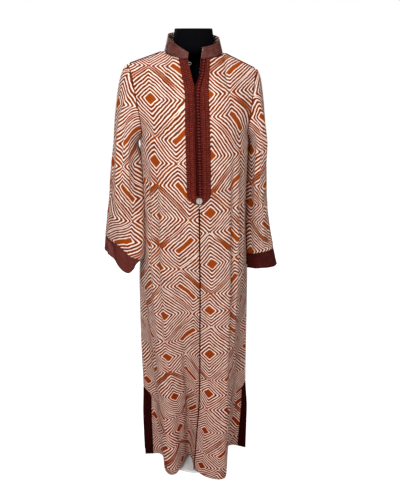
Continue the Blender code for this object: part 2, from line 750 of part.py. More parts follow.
def make_form():
    rings = []
    for height, half_width, front, back, tilt in FORM:
        ring = ring_around(height, half_width, front, back)
        for point in ring:
            point.y += SIDE_Y * 0.5
            point.z += tilt * point.x
        rings.append(ring)
    for half_width, front, back in FORM_SHOULDER:
        left, right = shoulder_height(LEFT, half_width), shoulder_height(RIGHT, half_width)
        ring = ring_around(0.0, half_width, front, back)
        for point in ring:
            point.z = lerp(left, right, 0.5 + 0.5 * point.x / half_width)
        rings.append(ring)
    for height, half_width, half_depth in FORM_NECK:
        rings.append(ring_around(height, half_width, half_depth, half_depth))
    form = add_object("form", closed_loft("form", rings), "form")
    form.data.shade_smooth()


def make_stand():
    profiles = (
        ("stand_pole", "metal", ((0.0, POLE_TOP_Z), (POLE_RADIUS, POLE_TOP_Z),
                        (POLE_RADIUS, SOCKET_TOP_Z + GAP), (0.0, SOCKET_TOP_Z + GAP))),
        ("stand_base", "lacquer", ((0.0, SOCKET_TOP_Z), (SOCKET_RADIUS * 0.8, SOCKET_TOP_Z),
                        (SOCKET_RADIUS, SOCKET_TOP_Z - 0.004), (SOCKET_RADIUS, BASE_THICK + 0.004),
                        (SOCKET_RADIUS + 0.006, BASE_THICK), (BASE_RADIUS - 0.003, BASE_THICK * 0.8),
                        (BASE_RADIUS, BASE_THICK * 0.5), (BASE_RADIUS, 0.0), (0.0, 0.0))),
    )
    for name, finish, profile in profiles:
        mesh = bpy.data.meshes.new(name)
        edges = [(i, i + 1) for i in range(len(profile) - 1)]
        mesh.from_pydata([(radius, 0.0, height) for radius, height in profile], edges, [])
        made = add_object(name, mesh, finish)
        turned = made.modifiers.new("turned", "SCREW")
        turned.angle = 2 * math.pi
        turned.steps = 32
        turned.render_steps = 32
        turned.use_merge_vertices = True
        turned.merge_threshold = 0.00001


for old in list(bpy.data.objects):
    bpy.data.objects.remove(old, do_unlink=True)
ROBE = bpy.data.collections.new("djellaba_robe")
bpy.context.scene.collection.children.link(ROBE)
make_panels()
make_sleeves()
make_collar()
make_trims()
make_knot_row()
make_disc()
make_eye_loop()
make_seam_cords()
make_facings()
make_form()
make_stand()
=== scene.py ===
# %% [markdown]
# # A printed djellaba robe on a dress form
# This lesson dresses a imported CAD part. The CAD gives the main solids of the robe, and
# here each cloth piece is made again with more points, soft creases, its print, its satin
# bands, the braid round the neck and the row of knots. Units are metres, +Z is up and the
# front of the robe faces -Y. "Left" and "right" are the viewer's.

# %% Start and frame
import math

import bmesh
import bpy
from mathutils import Matrix, Vector, noise
from mathutils.bvhtree import BVHTree


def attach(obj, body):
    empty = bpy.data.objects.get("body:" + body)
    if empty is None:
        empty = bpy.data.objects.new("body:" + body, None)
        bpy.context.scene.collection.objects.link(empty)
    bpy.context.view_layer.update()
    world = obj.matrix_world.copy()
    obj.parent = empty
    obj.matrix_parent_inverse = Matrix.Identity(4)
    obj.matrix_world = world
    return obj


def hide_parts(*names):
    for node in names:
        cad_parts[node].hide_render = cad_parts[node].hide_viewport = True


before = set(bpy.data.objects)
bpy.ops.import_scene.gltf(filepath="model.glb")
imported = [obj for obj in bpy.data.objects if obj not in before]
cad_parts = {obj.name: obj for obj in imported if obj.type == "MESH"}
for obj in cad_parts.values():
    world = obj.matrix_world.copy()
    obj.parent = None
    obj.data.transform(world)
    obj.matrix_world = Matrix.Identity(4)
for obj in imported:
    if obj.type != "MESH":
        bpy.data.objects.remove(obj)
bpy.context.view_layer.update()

# %% [markdown]
# ## Sizes that every piece shares
# The walls, gaps and heights are the ones that the CAD part was made with, so each new
# piece lands on the solid that it stands for. A level runs from 0 at the hem to 1 at the
# chest and 2 at the shoulder and neck, and each row of a panel lies at one level.

# %% Shared sizes
FRONT, BACK = 1, -1
LEFT, RIGHT = -1, 1
SIDE_NAME = {LEFT: "left", RIGHT: "right"}

WALL = 0.0016
BAND_WALL = 0.0022
TRIM_WALL = 0.0014
FACING_WALL = 0.0012
GAP = 0.0003
LAY_GAP = 0.00045
SEAM_SET = 0.0004
SHOULDER_SET = 0.0012
CORD_RADIUS = 0.0012

HEM_Z = 0.030
CHEST_Z = 1.240
YOKE_HEIGHT = 0.240
FOLD_TOP_Z = 1.150
FOLD_EASE = 1.5
VENT_TOP_Z = 0.345
VENT_MOUTH = 0.012
SIDE_Y = -0.015
SECTION_POWER = 2.35
YOKE_FULL = 0.013
YOKE_FULL_POWER = 1.7
YOKE_FULL_RISE = 0.5
DENSE = 48

# %% [markdown]
# ## The robe's shape as tables
# A robe has no straight edges to measure from, so its shape is kept in small tables: the
# body's half widths and depths at a few heights, the wavy line of the hem, the neckline
# and the armholes. Smooth curves through these few numbers give the whole surface, and a
# change of one number moves the cloth softly around it.

# %% Tables of the body
BODY = (  # height, left half width, right half width, front depth, back depth, drift
    (0.030, 0.192, 0.200, 0.128, 0.136, -0.009),
    (0.218, 0.190, 0.198, 0.132, 0.132, 0.001),
    (0.347, 0.184, 0.187, 0.137, 0.128, 0.008),
    (0.500, 0.184, 0.183, 0.142, 0.122, 0.009),
    (0.650, 0.182, 0.179, 0.147, 0.116, 0.008),
    (0.800, 0.178, 0.175, 0.152, 0.111, 0.007),
    (0.900, 0.170, 0.168, 0.157, 0.104, 0.005),
    (1.020, 0.160, 0.160, 0.163, 0.092, 0.003),
    (1.130, 0.157, 0.157, 0.168, 0.092, 0.001),
    (1.180, 0.157, 0.157, 0.168, 0.095, 0.000),
    (1.240, 0.158, 0.158, 0.161, 0.100, -0.001),
)
HEM = {  # hem line from the centre to the side seam: x, y
    (FRONT, LEFT): ((-0.009, -0.119), (-0.015, -0.066), (-0.028, -0.044), (-0.050, -0.084),
                    (-0.075, -0.131), (-0.102, -0.136), (-0.119, -0.106), (-0.122, -0.050),
                    (-0.136, -0.028), (-0.162, -0.021), (-0.192, -0.015)),
    (FRONT, RIGHT): ((-0.009, -0.119), (0.020, -0.150), (0.052, -0.167), (0.084, -0.174),
                     (0.104, -0.160), (0.113, -0.105), (0.118, -0.045), (0.130, -0.016),
                     (0.150, -0.007), (0.175, -0.010), (0.200, -0.015)),
    (BACK, LEFT): ((0.000, 0.112), (-0.024, 0.106), (-0.050, 0.124), (-0.078, 0.150),
                   (-0.106, 0.138), (-0.122, 0.098), (-0.140, 0.066), (-0.166, 0.060),
                   (-0.186, 0.036), (-0.192, -0.015)),
    (BACK, RIGHT): ((0.000, 0.112), (0.026, 0.128), (0.052, 0.152), (0.080, 0.146),
                    (0.100, 0.112), (0.120, 0.078), (0.146, 0.082), (0.172, 0.072),
                    (0.194, 0.034), (0.200, -0.015)),
}
CENTRE = {  # centre lines above the chest: x, y, z
    (FRONT, LEFT): ((-0.001, -0.161, 1.240), (-0.002, -0.147, 1.305), (-0.003, -0.121, 1.377),
                    (-0.012, -0.099, 1.421), (-0.021, -0.076, 1.463)),
    (FRONT, RIGHT): ((-0.001, -0.161, 1.240), (-0.001, -0.147, 1.305), (0.000, -0.121, 1.377),
                     (0.007, -0.099, 1.421), (0.0135, -0.076, 1.463)),
    (BACK, LEFT): ((-0.001, 0.100, 1.240), (0.000, 0.106, 1.320), (0.000, 0.098, 1.400),
                   (0.000, 0.082, 1.455), (0.000, 0.064, 1.487)),
}
CENTRE[(BACK, RIGHT)] = CENTRE[(BACK, LEFT)]
ARMHOLE = {  # x, front y, back y, z, from the armpit to the shoulder tip
    LEFT: ((-0.1580, -0.015, -0.015, 1.240), (-0.1520, -0.057, 0.026, 1.262),
           (-0.1535, -0.079, 0.045, 1.300), (-0.1605, -0.072, 0.045, 1.345),
           (-0.1700, -0.047, 0.032, 1.398), (-0.1780, -0.022, 0.016, 1.432),
           (-0.1830, 0.000, 0.000, 1.447)),
    RIGHT: ((0.1580, -0.015, -0.015, 1.240), (0.1500, -0.057, 0.026, 1.262),
            (0.1510, -0.079, 0.045, 1.300), (0.1570, -0.072, 0.045, 1.340),
            (0.1665, -0.047, 0.032, 1.388), (0.1740, -0.022, 0.016, 1.418),
            (0.1790, 0.000, 0.000, 1.4315)),
}
NECK_POINT = {LEFT: Vector((-0.080, 0.0, 1.4815)), RIGHT: Vector((0.080, 0.0, 1.4775))}
print("body rows:", len(BODY), "hem points:", sum(len(line) for line in HEM.values()))


# %% [markdown]
# ## Reading tables and walking along paths
# Three small tools do all the drawing. One reads a table at any height on a smooth curve,
# one draws a smooth path through a few points, and one finds the point at a distance
# along a path, which is what a tape measure does on real cloth. The first two share one
# blend with a slope at each end, and a bell gives a crease or a pucker its soft sides.

# %% Curve helpers
def lerp(start, end, share):
    return start + (end - start) * share


def smooth_step(share):
    share = min(1.0, max(0.0, share))
    return share * share * (3.0 - 2.0 * share)


def bell(off, spread):
    """A soft bump: 1 at its middle, nearly 0 at twice its spread."""
    return math.exp(-(off / spread) ** 2)


def blend(start, leave, end, arrive, share):
    """A smooth curve from start to end, with the slopes it leaves and arrives with."""
    square, cube = share ** 2, share ** 3
    return (start * (2 * cube - 3 * square + 1) + leave * (cube - 2 * square + share)
            + end * (3 * square - 2 * cube) + arrive * (cube - square))


def read(table, at, column):
    """One column of a table at a value of its first column, on a smooth curve."""
    at = min(max(at, table[0][0]), table[-1][0])
    index = 0
    while index < len(table) - 2 and table[index + 1][0] < at:
        index += 1
    low, high = table[index], table[index + 1]
    before = table[max(index - 1, 0)]
    after = table[min(index + 2, len(table) - 1)]
    span = high[0] - low[0]
    share = (at - low[0]) / span
    slope_low = (high[column] - before[column]) / (high[0] - before[0]) * span
    slope_high = (after[column] - low[column]) / (after[0] - low[0]) * span
    return blend(low[column], slope_low, high[column], slope_high, share)


def length_of(path):
    return sum((b - a).length for a, b in zip(path, path[1:]))


def at_distances(path, distances):
    """Points of a path at rising distances, in one walk along it."""
    points, index, gone = [], 0, 0.0
    step = (path[1] - path[0]).length
    for distance in distances:
        while distance > gone + step and index < len(path) - 2:
            gone += step
            index += 1
            step = (path[index + 1] - path[index]).length
        points.append(path[index].lerp(path[index + 1], (distance - gone) / step))
    return points


def at_distance(path, distance):
    return at_distances(path, [distance])[0]


def at_share(path, share):
    return at_distance(path, share * length_of(path))


def evenly(path, count):
    """The path again, as count + 1 points at even distances."""
    total = length_of(path)
    return at_distances(path, [total * step / count for step in range(count + 1)])


def through(points, count):
    """A smooth path through points, as count + 1 points at even distances."""
    fine, steps = [], 8
    for index in range(len(points) - 1):
        before = points[max(index - 1, 0)]
        low, high = points[index], points[index + 1]
        after = points[min(index + 2, len(points) - 1)]
        leave, arrive = (high - before) * 0.5, (after - low) * 0.5
        fine += [blend(low, leave, high, arrive, step / steps) for step in range(steps)]
    fine.append(points[-1].copy())
    return evenly(fine, count)


# %% [markdown]
# ## The panels' surface
# Each front or back half is one surface. Below the chest its rows are level sections with
# the hem's folds growing in towards the floor. Above the chest its rows are blended
# between the centre line, the armhole, the chest row and the neckline with the shoulder.

# %% Rows below the chest
def plain_section(face, side, height):
    """The body's rounded section before folds, centre to side seam, at even distances."""
    width = read(BODY, height, 1 if side == LEFT else 2)
    depth = read(BODY, height, 3 if face == FRONT else 4)
    reach = depth + SIDE_Y * face
    path = []
    for step in range(DENSE + 1):
        turn = math.pi / 2 * step / DENSE
        across = math.sin(turn) ** (2 / SECTION_POWER)
        deep = max(math.cos(turn), 0.0) ** (2 / SECTION_POWER)
        path.append(Vector((side * width * across, SIDE_Y - face * reach * deep, height)))
    path = evenly(path, DENSE)
    drift = read(BODY, height, 5)
    for step, point in enumerate(path):
        point.x += drift * (1 - step / DENSE) ** 2
    return path


def hem_folds(face, side):
    """How far the hem's folds move each point of the plain section."""
    hem = through([Vector((x, y, HEM_Z)) for x, y in HEM[(face, side)]], DENSE)
    plain = plain_section(face, side, HEM_Z)
    return [folded - point for folded, point in zip(hem, plain)]


FOLDS = {key: hem_folds(*key) for key in HEM}


def skirt_row(face, side, height):
    """A level line of a body panel from the centre to the side seam, with its folds."""
    growth = max(0.0, (FOLD_TOP_Z - height) / (FOLD_TOP_Z - HEM_Z)) ** FOLD_EASE
    vent = max(0.0, (VENT_TOP_Z - height) / (VENT_TOP_Z - HEM_Z)) * VENT_MOUTH
    row = []
    for step, point in enumerate(plain_section(face, side, height)):
        share = step / DENSE
        point = point + FOLDS[(face, side)][step] * growth
        point.x += side * SEAM_SET * (1 - share) ** 8 * (1 if face == FRONT else 0)
        point.y -= face * (SEAM_SET + vent) * share ** 8
        row.append(point)
    return row


# %% [markdown]
# Above the chest the panel narrows to the armhole and the neckline. The four edges are
# drawn first, and each row between them takes a share of all four, as a stretched cloth
# does. A little fullness in the middle keeps the chest from looking like a board.

# %% Rows above the chest
def armhole_edge(face, side):
    column = 1 if face == FRONT else 2
    points = [Vector((row[0], row[column], row[3])) for row in ARMHOLE[side]]
    points[0].y -= face * SEAM_SET
    points[-1].y -= face * SHOULDER_SET
    return through(points, DENSE)


def top_edge(face, side):
    """The neckline from the centre to the neck point, then the shoulder seam."""
    start = Vector(CENTRE[(face, side)][-1])
    neck = NECK_POINT[side]
    first_turn = math.asin(min(1.0, abs(start.x) / abs(neck.x)))
    path = []
    for step in range(DENSE + 1):
        turn = lerp(first_turn, math.pi / 2, step / DENSE)
        fall = math.cos(turn) / math.cos(first_turn)
        path.append(Vector((neck.x * math.sin(turn), start.y * fall,
                            lerp(neck.z, start.z, fall))))
    path[-1].y = -face * SHOULDER_SET
    path.append(armhole_edge(face, side)[-1])
    return evenly(path, DENSE)


CHEST_ROWS = {key: skirt_row(*key, CHEST_Z) for key in HEM}
TOP_EDGES = {key: top_edge(*key) for key in HEM}
ARMHOLES = {key: armhole_edge(*key) for key in HEM}
CENTRES = {}
for key, points in CENTRE.items():
    edge = [Vector(point) for point in points]
    edge[0] = CHEST_ROWS[key][0]
    CENTRES[key] = through(edge, DENSE)


def yoke_row(face, side, rise):
    """A row above the chest, blended between the four edges of the upper panel."""
    key = (face, side)
    chest, top = CHEST_ROWS[key], TOP_EDGES[key]
    centre = at_share(CENTRES[key], rise)
    armhole = at_share(ARMHOLES[key], rise)
    row = []
    for step in range(DENSE + 1):
        share = step / DENSE
        corners = (chest[0] * (1 - share) * (1 - rise) + chest[-1] * share * (1 - rise)
                   + top[0] * (1 - share) * rise + top[-1] * share * rise)
        point = (centre * (1 - share) + armhole * share
                 + chest[step] * (1 - rise) + top[step] * rise - corners)
        swell = math.sin(math.pi * share) ** 2 * math.sin(math.pi * rise ** YOKE_FULL_POWER)
        fullness = YOKE_FULL * swell
        row.append(point + Vector((0.0, -face * fullness, fullness * YOKE_FULL_RISE)))
    return row


def panel_row(face, side, level):
    if level <= 1.0:
        return skirt_row(face, side, lerp(HEM_Z, CHEST_Z, level))
    return yoke_row(face, side, level - 1.0)


def level_of(height):
    """The level of a height below the chest."""
    return (height - HEM_Z) / (CHEST_Z - HEM_Z)


print("chest half girth:", round(length_of(CHEST_ROWS[(FRONT, LEFT)])
                                 + length_of(CHEST_ROWS[(BACK, LEFT)]), 3), "m")

# %% [markdown]
# ## Creases
# Thin crepe hangs in long soft valleys from the bust and hips, and pulls in short lines
# at the armholes. Each crease is one line of a table: where it starts and ends on the
# flat panel, how wide it is, and how deep. They are listed one by one and uneven, because
# even ones look like a stage curtain. The depth fades to nothing at both ends.

# %% Crease tables
CREASES = {  # from centre, height, to centre, height, width, depth (minus is inwards)
    (FRONT, LEFT): (
        (0.126, 1.235, 0.132, 0.420, 0.0075, -0.0095), (0.144, 1.215, 0.148, 0.560, 0.0080, 0.0060),
        (0.163, 1.205, 0.166, 0.700, 0.0070, -0.0060), (0.108, 1.150, 0.112, 0.500, 0.0100, 0.0042),
        (0.080, 1.440, 0.128, 1.300, 0.0100, -0.0024), (0.105, 1.430, 0.140, 1.330, 0.0080, 0.0022),
        (0.140, 1.300, 0.070, 1.215, 0.0110, -0.0024), (0.150, 1.275, 0.095, 1.190, 0.0090, 0.0022),
        (0.060, 0.640, 0.066, 0.180, 0.0085, -0.0060), (0.090, 0.520, 0.104, 0.060, 0.0110, 0.0044),
        (0.176, 0.800, 0.182, 0.420, 0.0080, -0.0044), (0.030, 0.980, 0.036, 0.700, 0.0110, -0.0020),
        (0.040, 0.470, 0.030, 0.120, 0.0080, 0.0034), (0.196, 0.640, 0.200, 0.360, 0.0080, 0.0030),
        (0.060, 1.180, 0.110, 1.120, 0.0090, -0.0022), (0.044, 0.900, 0.120, 0.860, 0.0100, -0.0016),
        (0.076, 0.560, 0.082, 0.200, 0.0070, 0.0034), (0.048, 0.520, 0.052, 0.260, 0.0060, 0.0028),
    ),
    (FRONT, RIGHT): (
        (0.106, 1.250, 0.112, 0.420, 0.0085, -0.0105), (0.124, 1.235, 0.128, 0.480, 0.0075, 0.0068),
        (0.143, 1.220, 0.147, 0.640, 0.0075, -0.0075), (0.160, 1.190, 0.166, 0.760, 0.0065, 0.0042),
        (0.088, 1.160, 0.094, 0.480, 0.0080, 0.0040), (0.178, 1.120, 0.182, 0.700, 0.0070, -0.0040),
        (0.090, 1.430, 0.124, 1.310, 0.0100, -0.0024), (0.135, 1.340, 0.075, 1.235, 0.0100, 0.0022),
        (0.150, 1.285, 0.100, 1.225, 0.0090, -0.0026), (0.076, 0.660, 0.082, 0.260, 0.0110, -0.0036),
        (0.120, 0.460, 0.126, 0.080, 0.0090, -0.0050), (0.146, 0.600, 0.154, 0.360, 0.0090, 0.0036),
        (0.186, 0.560, 0.190, 0.350, 0.0080, -0.0032), (0.040, 0.420, 0.050, 0.060, 0.0120, 0.0030),
        (0.028, 1.020, 0.030, 0.760, 0.0100, -0.0016), (0.060, 1.120, 0.104, 1.060, 0.0090, -0.0022),
    ),
    (BACK, LEFT): (
        (0.050, 1.230, 0.046, 0.700, 0.0110, -0.0062), (0.082, 1.250, 0.078, 0.600, 0.0100, 0.0060),
        (0.112, 1.210, 0.110, 0.720, 0.0085, -0.0068), (0.140, 1.230, 0.144, 0.760, 0.0080, 0.0046),
        (0.014, 1.080, 0.016, 0.540, 0.0100, 0.0036), (0.160, 1.320, 0.090, 1.220, 0.0100, -0.0026),
        (0.150, 1.290, 0.100, 1.170, 0.0090, 0.0024), (0.070, 1.440, 0.110, 1.320, 0.0120, -0.0020),
        (0.060, 0.600, 0.066, 0.160, 0.0100, -0.0050), (0.130, 0.620, 0.140, 0.300, 0.0100, 0.0040),
        (0.094, 0.480, 0.100, 0.090, 0.0090, 0.0036), (0.030, 0.900, 0.100, 0.860, 0.0100, -0.0016),
        (0.164, 1.100, 0.168, 0.560, 0.0075, -0.0046),
    ),
    (BACK, RIGHT): (
        (0.036, 1.250, 0.040, 0.760, 0.0105, -0.0054), (0.066, 1.220, 0.070, 0.640, 0.0105, 0.0062),
        (0.100, 1.240, 0.096, 0.660, 0.0090, -0.0070), (0.132, 1.200, 0.130, 0.780, 0.0080, 0.0050),
        (0.152, 1.170, 0.156, 0.820, 0.0070, -0.0044), (0.156, 1.310, 0.096, 1.200, 0.0100, 0.0025),
        (0.144, 1.270, 0.090, 1.130, 0.0090, -0.0025), (0.060, 1.430, 0.100, 1.340, 0.0120, 0.0019),
        (0.040, 0.560, 0.044, 0.120, 0.0100, 0.0042), (0.086, 0.640, 0.092, 0.200, 0.0105, -0.0052),
        (0.150, 0.660, 0.158, 0.330, 0.0090, 0.0040), (0.046, 0.950, 0.110, 0.900, 0.0100, -0.0016),
        (0.172, 1.060, 0.176, 0.600, 0.0075, -0.0042),
    ),
}
CREASE_REACH = 3
CREASE_END = 0.8
RIPPLE = 0.0006
RIPPLE_SCALE = 16.0
STILL_SEAM = 0.03
STILL_TOP = 0.06


def height_of(level):
    """The height on the flat panel that a level stands for."""
    if level <= 1.0:
        return lerp(HEM_Z, CHEST_Z, level)
    return CHEST_Z + (level - 1.0) * YOKE_HEIGHT


def crease_depth(table, across, height):
    """How far a point of a flat piece moves outwards."""
    depth = 0.0
    for x1, z1, x2, z2, width, deep in table:
        run, drop = x2 - x1, z2 - z1
        share = ((across - x1) * run + (height - z1) * drop) / (run * run + drop * drop)
        if 0.0 < share < 1.0:
            off = abs((across - x1) * drop - (height - z1) * run) / math.hypot(run, drop)
            if off < width * CREASE_REACH:
                depth += deep * math.sin(math.pi * share) ** CREASE_END * bell(off, width)
    return depth


def panel_depth(face, side, across, level, length):
    """Creases and a fine ripple of a panel, still at its seams."""
    height = height_of(level)
    still = smooth_step(across / STILL_SEAM) * smooth_step((length - across) / STILL_SEAM)
    still *= smooth_step((2.0 - level) / STILL_TOP)
    place = Vector((across * face, height, side * 3.0 + face)) * RIPPLE_SCALE
    return still * (crease_depth(CREASES[(face, side)], across, height)
                    + RIPPLE * noise.noise(place))


print("creases on the panels:", sum(len(table) for table in CREASES.values()))

# %% [markdown]
# ## From rows of points to cloth
# A grid of points becomes a mesh of quads, and its UV map holds the flat cloth's own
# coordinates in metres: how far each point is from the front edge, and how far up. A
# printed cloth carries its print through every fold, so the print is drawn on these
# coordinates and bends where the cloth does. Solidify then gives the cloth its thickness.

# %% Grid helpers
def normals_of(grid, turn, closed=False):
    """The outward direction at each point of a grid of points."""
    last_row, width = len(grid) - 1, len(grid[0])
    normals = []
    for j, row in enumerate(grid):
        above, below = grid[min(j + 1, last_row)], grid[max(j - 1, 0)]
        line = []
        for i in range(width):
            if closed:
                along = row[(i + 1) % width] - row[i - 1]
            else:
                along = row[min(i + 1, width - 1)] - row[max(i - 1, 0)]
            line.append(along.cross(above[i] - below[i]).normalized() * turn)
        normals.append(line)
    return normals


def moved(grid, normals, depth):
    """The grid moved along its normals; depth is one number or a grid of numbers."""
    result = []
    for j, row in enumerate(grid):
        line = []
        for i, point in enumerate(row):
            far = depth if isinstance(depth, float) else depth[j][i]
            line.append(point + normals[j][i] * far)
        result.append(line)
    return result


def grid_mesh(name, grid, flip, places=None, closed=False):
    """A mesh of the grid's quads, with a UV map of each point's place on the flat cloth."""
    mesh = bpy.data.meshes.new(name)
    width = len(grid[0])
    faces, corners = [], []
    for j in range(len(grid) - 1):
        for i in range(width if closed else width - 1):
            after = (i + 1) % width
            near, far = j * width, (j + 1) * width
            face = [near + i, near + after, far + after, far + i]
            corner = [(j, i), (j, i + 1), (j + 1, i + 1), (j + 1, i)]
            if flip:
                face.reverse()
                corner.reverse()
            faces.append(face)
            corners += corner
    mesh.from_pydata([point for row in grid for point in row], [], faces)
    if places:
        layer = mesh.uv_layers.new(name="flat_cloth")
        for slot, (j, i) in zip(layer.data, corners):
            slot.uv = places[j][i]
    mesh.shade_smooth()
    return mesh


def outward_normals(mesh):
    shape = bmesh.new()
    shape.from_mesh(mesh)
    bmesh.ops.recalc_face_normals(shape, faces=shape.faces)
    shape.to_mesh(mesh)
    shape.free()
    mesh.shade_smooth()


def add_piece(name, mesh, material, slot_name, *nodes):
    """Puts a mesh in the scene as a piece of the robe, standing for CAD nodes."""
    piece = bpy.data.objects.new(name, mesh)
    mesh.materials.append(material)
    bpy.context.scene.collection.objects.link(piece)
    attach(piece, "root")
    if nodes:
        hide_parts(*nodes)
    return piece


def apply_modifier(piece, name):
    bpy.ops.object.select_all(action="DESELECT")
    bpy.context.view_layer.objects.active = piece
    piece.select_set(True)
    bpy.ops.object.modifier_apply(modifier=name)
    piece.select_set(False)


def report(piece):
    print(piece.name, len(piece.data.polygons), "faces")


def add_cloth(mesh, wall, *finish):
    """A cloth piece: its mesh gets a wall by Solidify, about the middle of the cloth."""
    piece = add_piece(mesh.name, mesh, *finish)
    shell = piece.modifiers.new("wall", "SOLIDIFY")
    shell.thickness = wall
    shell.offset = 0.0
    apply_modifier(piece, "wall")
    report(piece)
    return piece


def add_solid(name, verts, faces, *finish):
    """A closed piece from points and faces, such as a cord or a wire."""
    mesh = bpy.data.meshes.new(name)
    mesh.from_pydata(verts, [], faces)
    outward_normals(mesh)
    report(add_piece(name, mesh, *finish))


# %% [markdown]
# ## Shader groups
# Effects that several materials share are built once as node groups, with their own named
# inputs and outputs. "Thread" is a fine weave of crossing threads for the bump. "Cloth
# shade" is the slow, uneven change of tone that dye and handling give to cloth.

# %% Node helpers
def new_group(name, inputs, outputs):
    """An empty shader node group; inputs and outputs are (name, socket type, default)."""
    group = bpy.data.node_groups.new(name, "ShaderNodeTree")
    for title, kind, value in inputs:
        socket = group.interface.new_socket(name=title, in_out="INPUT", socket_type=kind)
        if value is not None:
            socket.default_value = value
    for title, kind, value in outputs:
        group.interface.new_socket(name=title, in_out="OUTPUT", socket_type=kind)
    start = group.nodes.new("NodeGroupInput")
    end = group.nodes.new("NodeGroupOutput")
    start.location, end.location = (-900, 0), (900, 0)
    return group, start, end


def feed(tree, value, socket):
    """Links a socket, or sets a plain value."""
    if isinstance(value, bpy.types.NodeSocket):
        tree.links.new(value, socket)
    else:
        socket.default_value = value


def sum_of(tree, operation, a, b=0.0, c=0.0):
    """A Math node on one to three values."""
    made = tree.nodes.new("ShaderNodeMath")
    made.operation = operation
    for value, socket in zip((a, b, c), made.inputs):
        feed(tree, value, socket)
    return made.outputs[0]


def noise_of(tree, place, scale, detail, roughness=0.5):
    made = tree.nodes.new("ShaderNodeTexNoise")
    made.inputs["Scale"].default_value = scale
    made.inputs["Detail"].default_value = detail
    made.inputs["Roughness"].default_value = roughness
    tree.links.new(place, made.inputs["Vector"])
    return made


def ramp_of(tree, value, low, high):
    """A soft step from 0 at low to 1 at high."""
    made = tree.nodes.new("ShaderNodeMapRange")
    made.interpolation_type = "SMOOTHSTEP"
    feed(tree, value, made.inputs["Value"])
    feed(tree, low, made.inputs["From Min"])
    feed(tree, high, made.inputs["From Max"])
    return made.outputs["Result"]


def mix_of(tree, share, a, b):
    """A mix of two colours."""
    made = tree.nodes.new("ShaderNodeMix")
    made.data_type = "RGBA"
    feed(tree, share, made.inputs["Factor"])
    feed(tree, a, made.inputs["A"])
    feed(tree, b, made.inputs["B"])
    return made.outputs["Result"]


def vector_sum(tree, operation, a, b):
    made = tree.nodes.new("ShaderNodeVectorMath")
    made.operation = operation
    feed(tree, a, made.inputs[0])
    if isinstance(b, float):
        made.inputs["Scale"].default_value = b
    else:
        feed(tree, b, made.inputs[1])
    return made.outputs[0]


# %% Thread and shade groups
def build_thread_group():
    """Crossing threads: a height from 0 to 1, on places in metres."""
    group, start, end = new_group(
        "Thread", (("Place", "NodeSocketVector", None), ("Pitch", "NodeSocketFloat", 0.001)),
        (("Height", "NodeSocketFloat", None),))
    split = group.nodes.new("ShaderNodeSeparateXYZ")
    group.links.new(start.outputs["Place"], split.inputs[0])
    turn = sum_of(group, "DIVIDE", math.tau, start.outputs["Pitch"])
    warp = sum_of(group, "SINE", sum_of(group, "MULTIPLY", split.outputs["X"], turn))
    weft = sum_of(group, "SINE", sum_of(group, "MULTIPLY", split.outputs["Y"], turn))
    crossing = sum_of(group, "MULTIPLY", warp, weft)
    slub = noise_of(group, start.outputs["Place"], 900.0, 2.0).outputs["Fac"]
    height = sum_of(group, "MULTIPLY_ADD", crossing, 0.3, sum_of(group, "MULTIPLY", slub, 0.9))
    group.links.new(height, end.inputs["Height"])
    return group


def build_shade_group():
    """A slow change of tone: a factor about 1."""
    group, start, end = new_group(
        "Cloth shade", (("Place", "NodeSocketVector", None), ("Amount", "NodeSocketFloat", 0.2)),
        (("Tone", "NodeSocketFloat", None),))
    wide = noise_of(group, start.outputs["Place"], 14.0, 3.0).outputs["Fac"]
    fine = noise_of(group, start.outputs["Place"], 260.0, 2.0).outputs["Fac"]
    both = sum_of(group, "ADD", wide, sum_of(group, "MULTIPLY", fine, 0.5))
    off = sum_of(group, "SUBTRACT", both, 0.75)
    tone = sum_of(group, "MULTIPLY_ADD", off, start.outputs["Amount"], 1.0)
    group.links.new(tone, end.inputs["Tone"])
    return group


THREAD = build_thread_group()
SHADE = build_shade_group()
print("shader groups:", THREAD.name, "and", SHADE.name)

# %% [markdown]
# ## The print as a formula
# The cloth has nested lozenges: wide and narrow cells take turns along both slants of a
# diamond lattice. Square cells hold a small solid core, and the long ones between them a
# slanted bar, and thin rings follow each core outwards at one even pitch until they meet
# the next cell's rings in a mitre. Along some borders between cells the ink runs together
# into a thick band. In a frame turned by 45 degrees each cell is upright, so a ring is
# only the larger of two distances. A little noise moves the lines, as a hand-cut screen
# would.

# %% Lozenge print group
LATTICE = 0.1638
WIDE_CELL = 0.133
RING_RATE = 14.3
INK_SHARE = 0.62
CORE = 0.112
BAR_LONG = 0.300
BAR_SHORT = 0.058
MITRE_SOFT = 0.050
BORDER, BORDER_SPREAD, BORDER_SCALE = 0.016, 0.088, 9.0
DRIFT_SCALE, DRIFT = 7.0, 0.030
SHAKE_SCALE, SHAKE = 70.0, 0.0036
SWELL_SCALE, SWELL = 48.0, 0.36
LINE_SOFT, CORE_SOFT, BORDER_SOFT = 0.05, 0.06, 0.005


def shifted_place(group, place, scale, reach):
    """A place moved by slow noise, by at most about half the reach."""
    off = vector_sum(group, "SUBTRACT", noise_of(group, place, scale, 1.0).outputs["Color"],
                     (0.5, 0.5, 0.5))
    return vector_sum(group, "ADD", place, vector_sum(group, "SCALE", off, reach))


def cell_of(group, way):
    """Along one slant: whether the cell is wide, and the distances to its middle and border."""
    pair = sum_of(group, "MULTIPLY", way, 0.5)
    turned = sum_of(group, "MULTIPLY", sum_of(group, "PINGPONG", pair, 0.5), 2.0)
    border = 0.5 - WIDE_CELL
    wide = sum_of(group, "GREATER_THAN", turned, border)
    off = sum_of(group, "ABSOLUTE", sum_of(group, "SUBTRACT", turned, wide))
    reach = sum_of(group, "MULTIPLY_ADD", wide, 2 * WIDE_CELL, border)
    return wide, off, sum_of(group, "SUBTRACT", reach, off)


